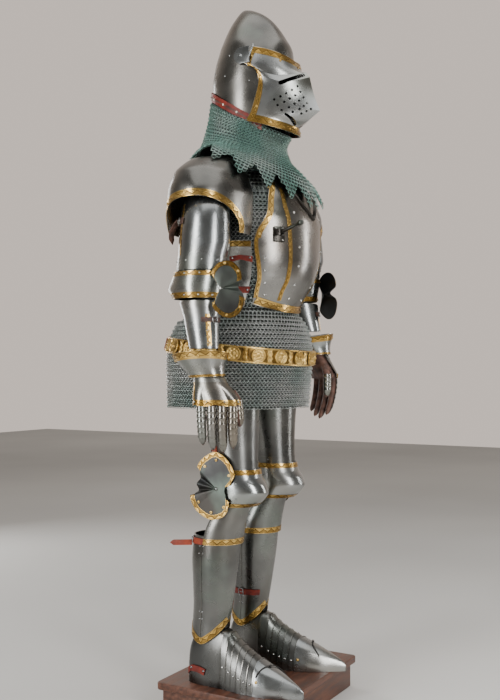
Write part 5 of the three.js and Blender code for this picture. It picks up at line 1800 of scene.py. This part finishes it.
def make_sabaton(hand, out, splay, side):
    surface = foot_surface(hand, out, splay)
    centre = place(hand * out, 0, 30)
    lames = (-14, 4, 21, 38, 55, 72, 90)

    def spot(u, v):
        ahead = mix(-130, 89.4, v)
        share = 0
        for first, last in zip(lames, lames[1:]):
            if first <= ahead < last:
                share = (ahead - first) / (last - first)
        return surface(mix(-90, 90, u), ahead, -2.6 * share)

    plate = finish_mesh(net(56, 110, spot, centre, STEEL), f"sabaton_plates_{side}", leg_steel_painted_shade, 24)
    ankle = bmesh.new()
    turn = Matrix.Translation(place(hand * out, 64, 128)) @ Matrix.Diagonal((1, 1.26, 1, 1))
    bmesh.ops.create_cone(ankle, cap_ends=True, segments=40, radius1=31 * MM, radius2=35 * MM,
            depth=120 * MM, matrix=turn)
    belongs(cut_with(plate, ankle), "harness", "steel", f"sabaton_{side}")
    # painted shadow: a thin dark strip at each lame's edge, standing for the shadow line under its step
    for i, ahead in enumerate(lames):
        strip(f"sabaton_lame_edge_{i + 1}_{side}", surface, level_line(-86, 86, ahead - 0.4), -1.8,
                dark_steel, centre, wall=SEAM, steps=48, across=2)
    spots = [(a, ahead) for ahead in (-8, 12, 29, 46, 63, 81) for a in (-74, 74)]
    # the sabaton's rivet heads take the paler steel: painted highlight standing for their glints
    rivets(f"sabaton_rivets_{side}", surface, spots, centre, 3.2, 0, painted_light_steel)
    toe_centre = place(hand * (out + splay * 160), -130, 20)
    cap = finish_mesh(net(48, 50, lambda u, v: surface(mix(-90, 90, u), mix(90.4, 214, v)), toe_centre,
            STEEL), f"toe_plate_{side}", steel)
    belongs(cap, "harness", "steel", f"toe_cap_{side}")
    strip(f"toe_cap_edge_{side}", surface, level_line(-84, 84, 91.4), -2.4, steel, toe_centre, wall=LAME,
            steps=48, across=2)
    ring_rivets(f"toe_ring_rivets_{side}", surface, ((-70, 99), (66, 99)), toe_centre, 4.0, 0.4)
    strip(f"heel_strap_{side}", surface, lambda t: (mix(79, 85, t), mix(-122, -60, t)), -14, red_leather,
            centre, wall=LEATHER, lift=1.2, steps=24, across=2)
    rivets(f"heel_strap_rivets_{side}", surface, ((86, -66), (82.7, -108)), centre, 3.4, 4, steel)


LACE = 2.4
LACE_STATIONS = ((96, 58), (104, 40), (112, 22), (120, 4), (127, -12), (136, -26), (146, -38), (152, -50))


def make_toe_lace(hand, out, splay, side):
    """The lace of a toe cap, out of its ring, over the ridge and down to its free end."""
    surface = foot_surface(hand, out, splay)
    curve_data = bpy.data.curves.new(f"toe_lace_cord_{side}", "CURVE")
    curve_data.dimensions = "3D"
    curve_data.bevel_depth = LACE / 2 * MM
    curve_data.bevel_resolution = 3
    curve_data.use_fill_caps = True
    spline = curve_data.splines.new("BEZIER")
    spots = []
    for ahead, angle in LACE_STATIONS:
        spot = surface(angle, ahead)
        line = hand * (out + splay * (20 + ahead)) * MM
        away = Vector((spot.x - line, 0, spot.z - PLINTH_HEIGHT * MM)).normalized()
        spots.append(spot + away * (LACE / 2 + 1.6) * MM)
    spline.bezier_points.add(len(spots) - 1)
    for handle, spot in zip(spline.bezier_points, spots):
        handle.co = spot
        handle.handle_left_type = handle.handle_right_type = "AUTO"
    curve_data.materials.append(lace_cord)
    cord = add_object(curve_data.name, curve_data)
    belongs(cord, "harness", "black_lace", f"toe_lace_{side}")
    knot = bmesh.new()
    bmesh.ops.create_uvsphere(knot, u_segments=12, v_segments=8, radius=3.4 * MM,
                              matrix=Matrix.Translation(spots[3]) @ Matrix.Diagonal((1.3, 1, 0.8, 1)))
    tied = belongs(finish_mesh(knot, f"toe_lace_knot_{side}", lace_cord), "harness", "black_lace")


def leg_pieces(side):
    hand, out, splay = LEGS[side]
    make_cuisse(hand, out, side)
    make_poleyn(hand, out, side)
    make_demi_greave(hand, out, side)
    make_greave(hand, out, side)
    make_sabaton(hand, out, splay, side)


# ------------------------------------------------------------------ plinth
def make_plinth():
    middle = Vector((PLINTH_X, PLINTH_Y + SHIFT_Y, 0)) * MM
    for name, inset, low, high, corner, node in (
        ("board", 0, PLINTH_HEIGHT - BOARD_THICKNESS, PLINTH_HEIGHT, BOARD_CORNER, "plinth_board"),
        ("box", BOARD_OVERHANG, 0, PLINTH_HEIGHT - BOARD_THICKNESS - 0.3, 2.5, "plinth_box"),
    ):
        bm = bmesh.new()
        size = (BOARD_WIDTH - 2 * inset, BOARD_DEPTH - 2 * inset, high - low)
        shift = Matrix.Translation(middle + Vector((0, 0, (high + low) / 2 * MM)))
        bmesh.ops.create_cube(bm, size=1, matrix=shift @ Matrix.Diagonal((*[s * MM for s in size], 1)))
        upright = [e for e in bm.edges if abs(e.verts[0].co.z - e.verts[1].co.z) > 0.01]
        bmesh.ops.bevel(bm, geom=upright, offset=corner * MM, affect="EDGES", segments=6, profile=0.5,
                material=-1)
        rims = [e for e in bm.edges if e.is_manifold and e.calc_face_angle() > radians(50)]
        bmesh.ops.bevel(bm, geom=rims, offset=(3.2 if inset == 0 else 1) * MM, affect="EDGES", segments=3,
                profile=0.5, material=-1)
        belongs(finish_mesh(bm, f"plinth_{name}_wood", wood), "harness", "wood", node)


for leg_side in ("right", "left"):
    make_toe_lace(*LEGS[leg_side], leg_side)
add_room()
make_skull()
make_helmet_strip()
make_visor()
make_visor_arm(RIGHT, "right")
make_visor_arm(LEFT, "left")
make_aventail()
make_shirt()
make_breastplate()
make_backplate()
make_side_straps()
make_stop_rib()
make_lance_rest()
make_belt()
for limb_side in ("right", "left"):
    arm_pieces(limb_side)
    leg_pieces(limb_side)
make_plinth()
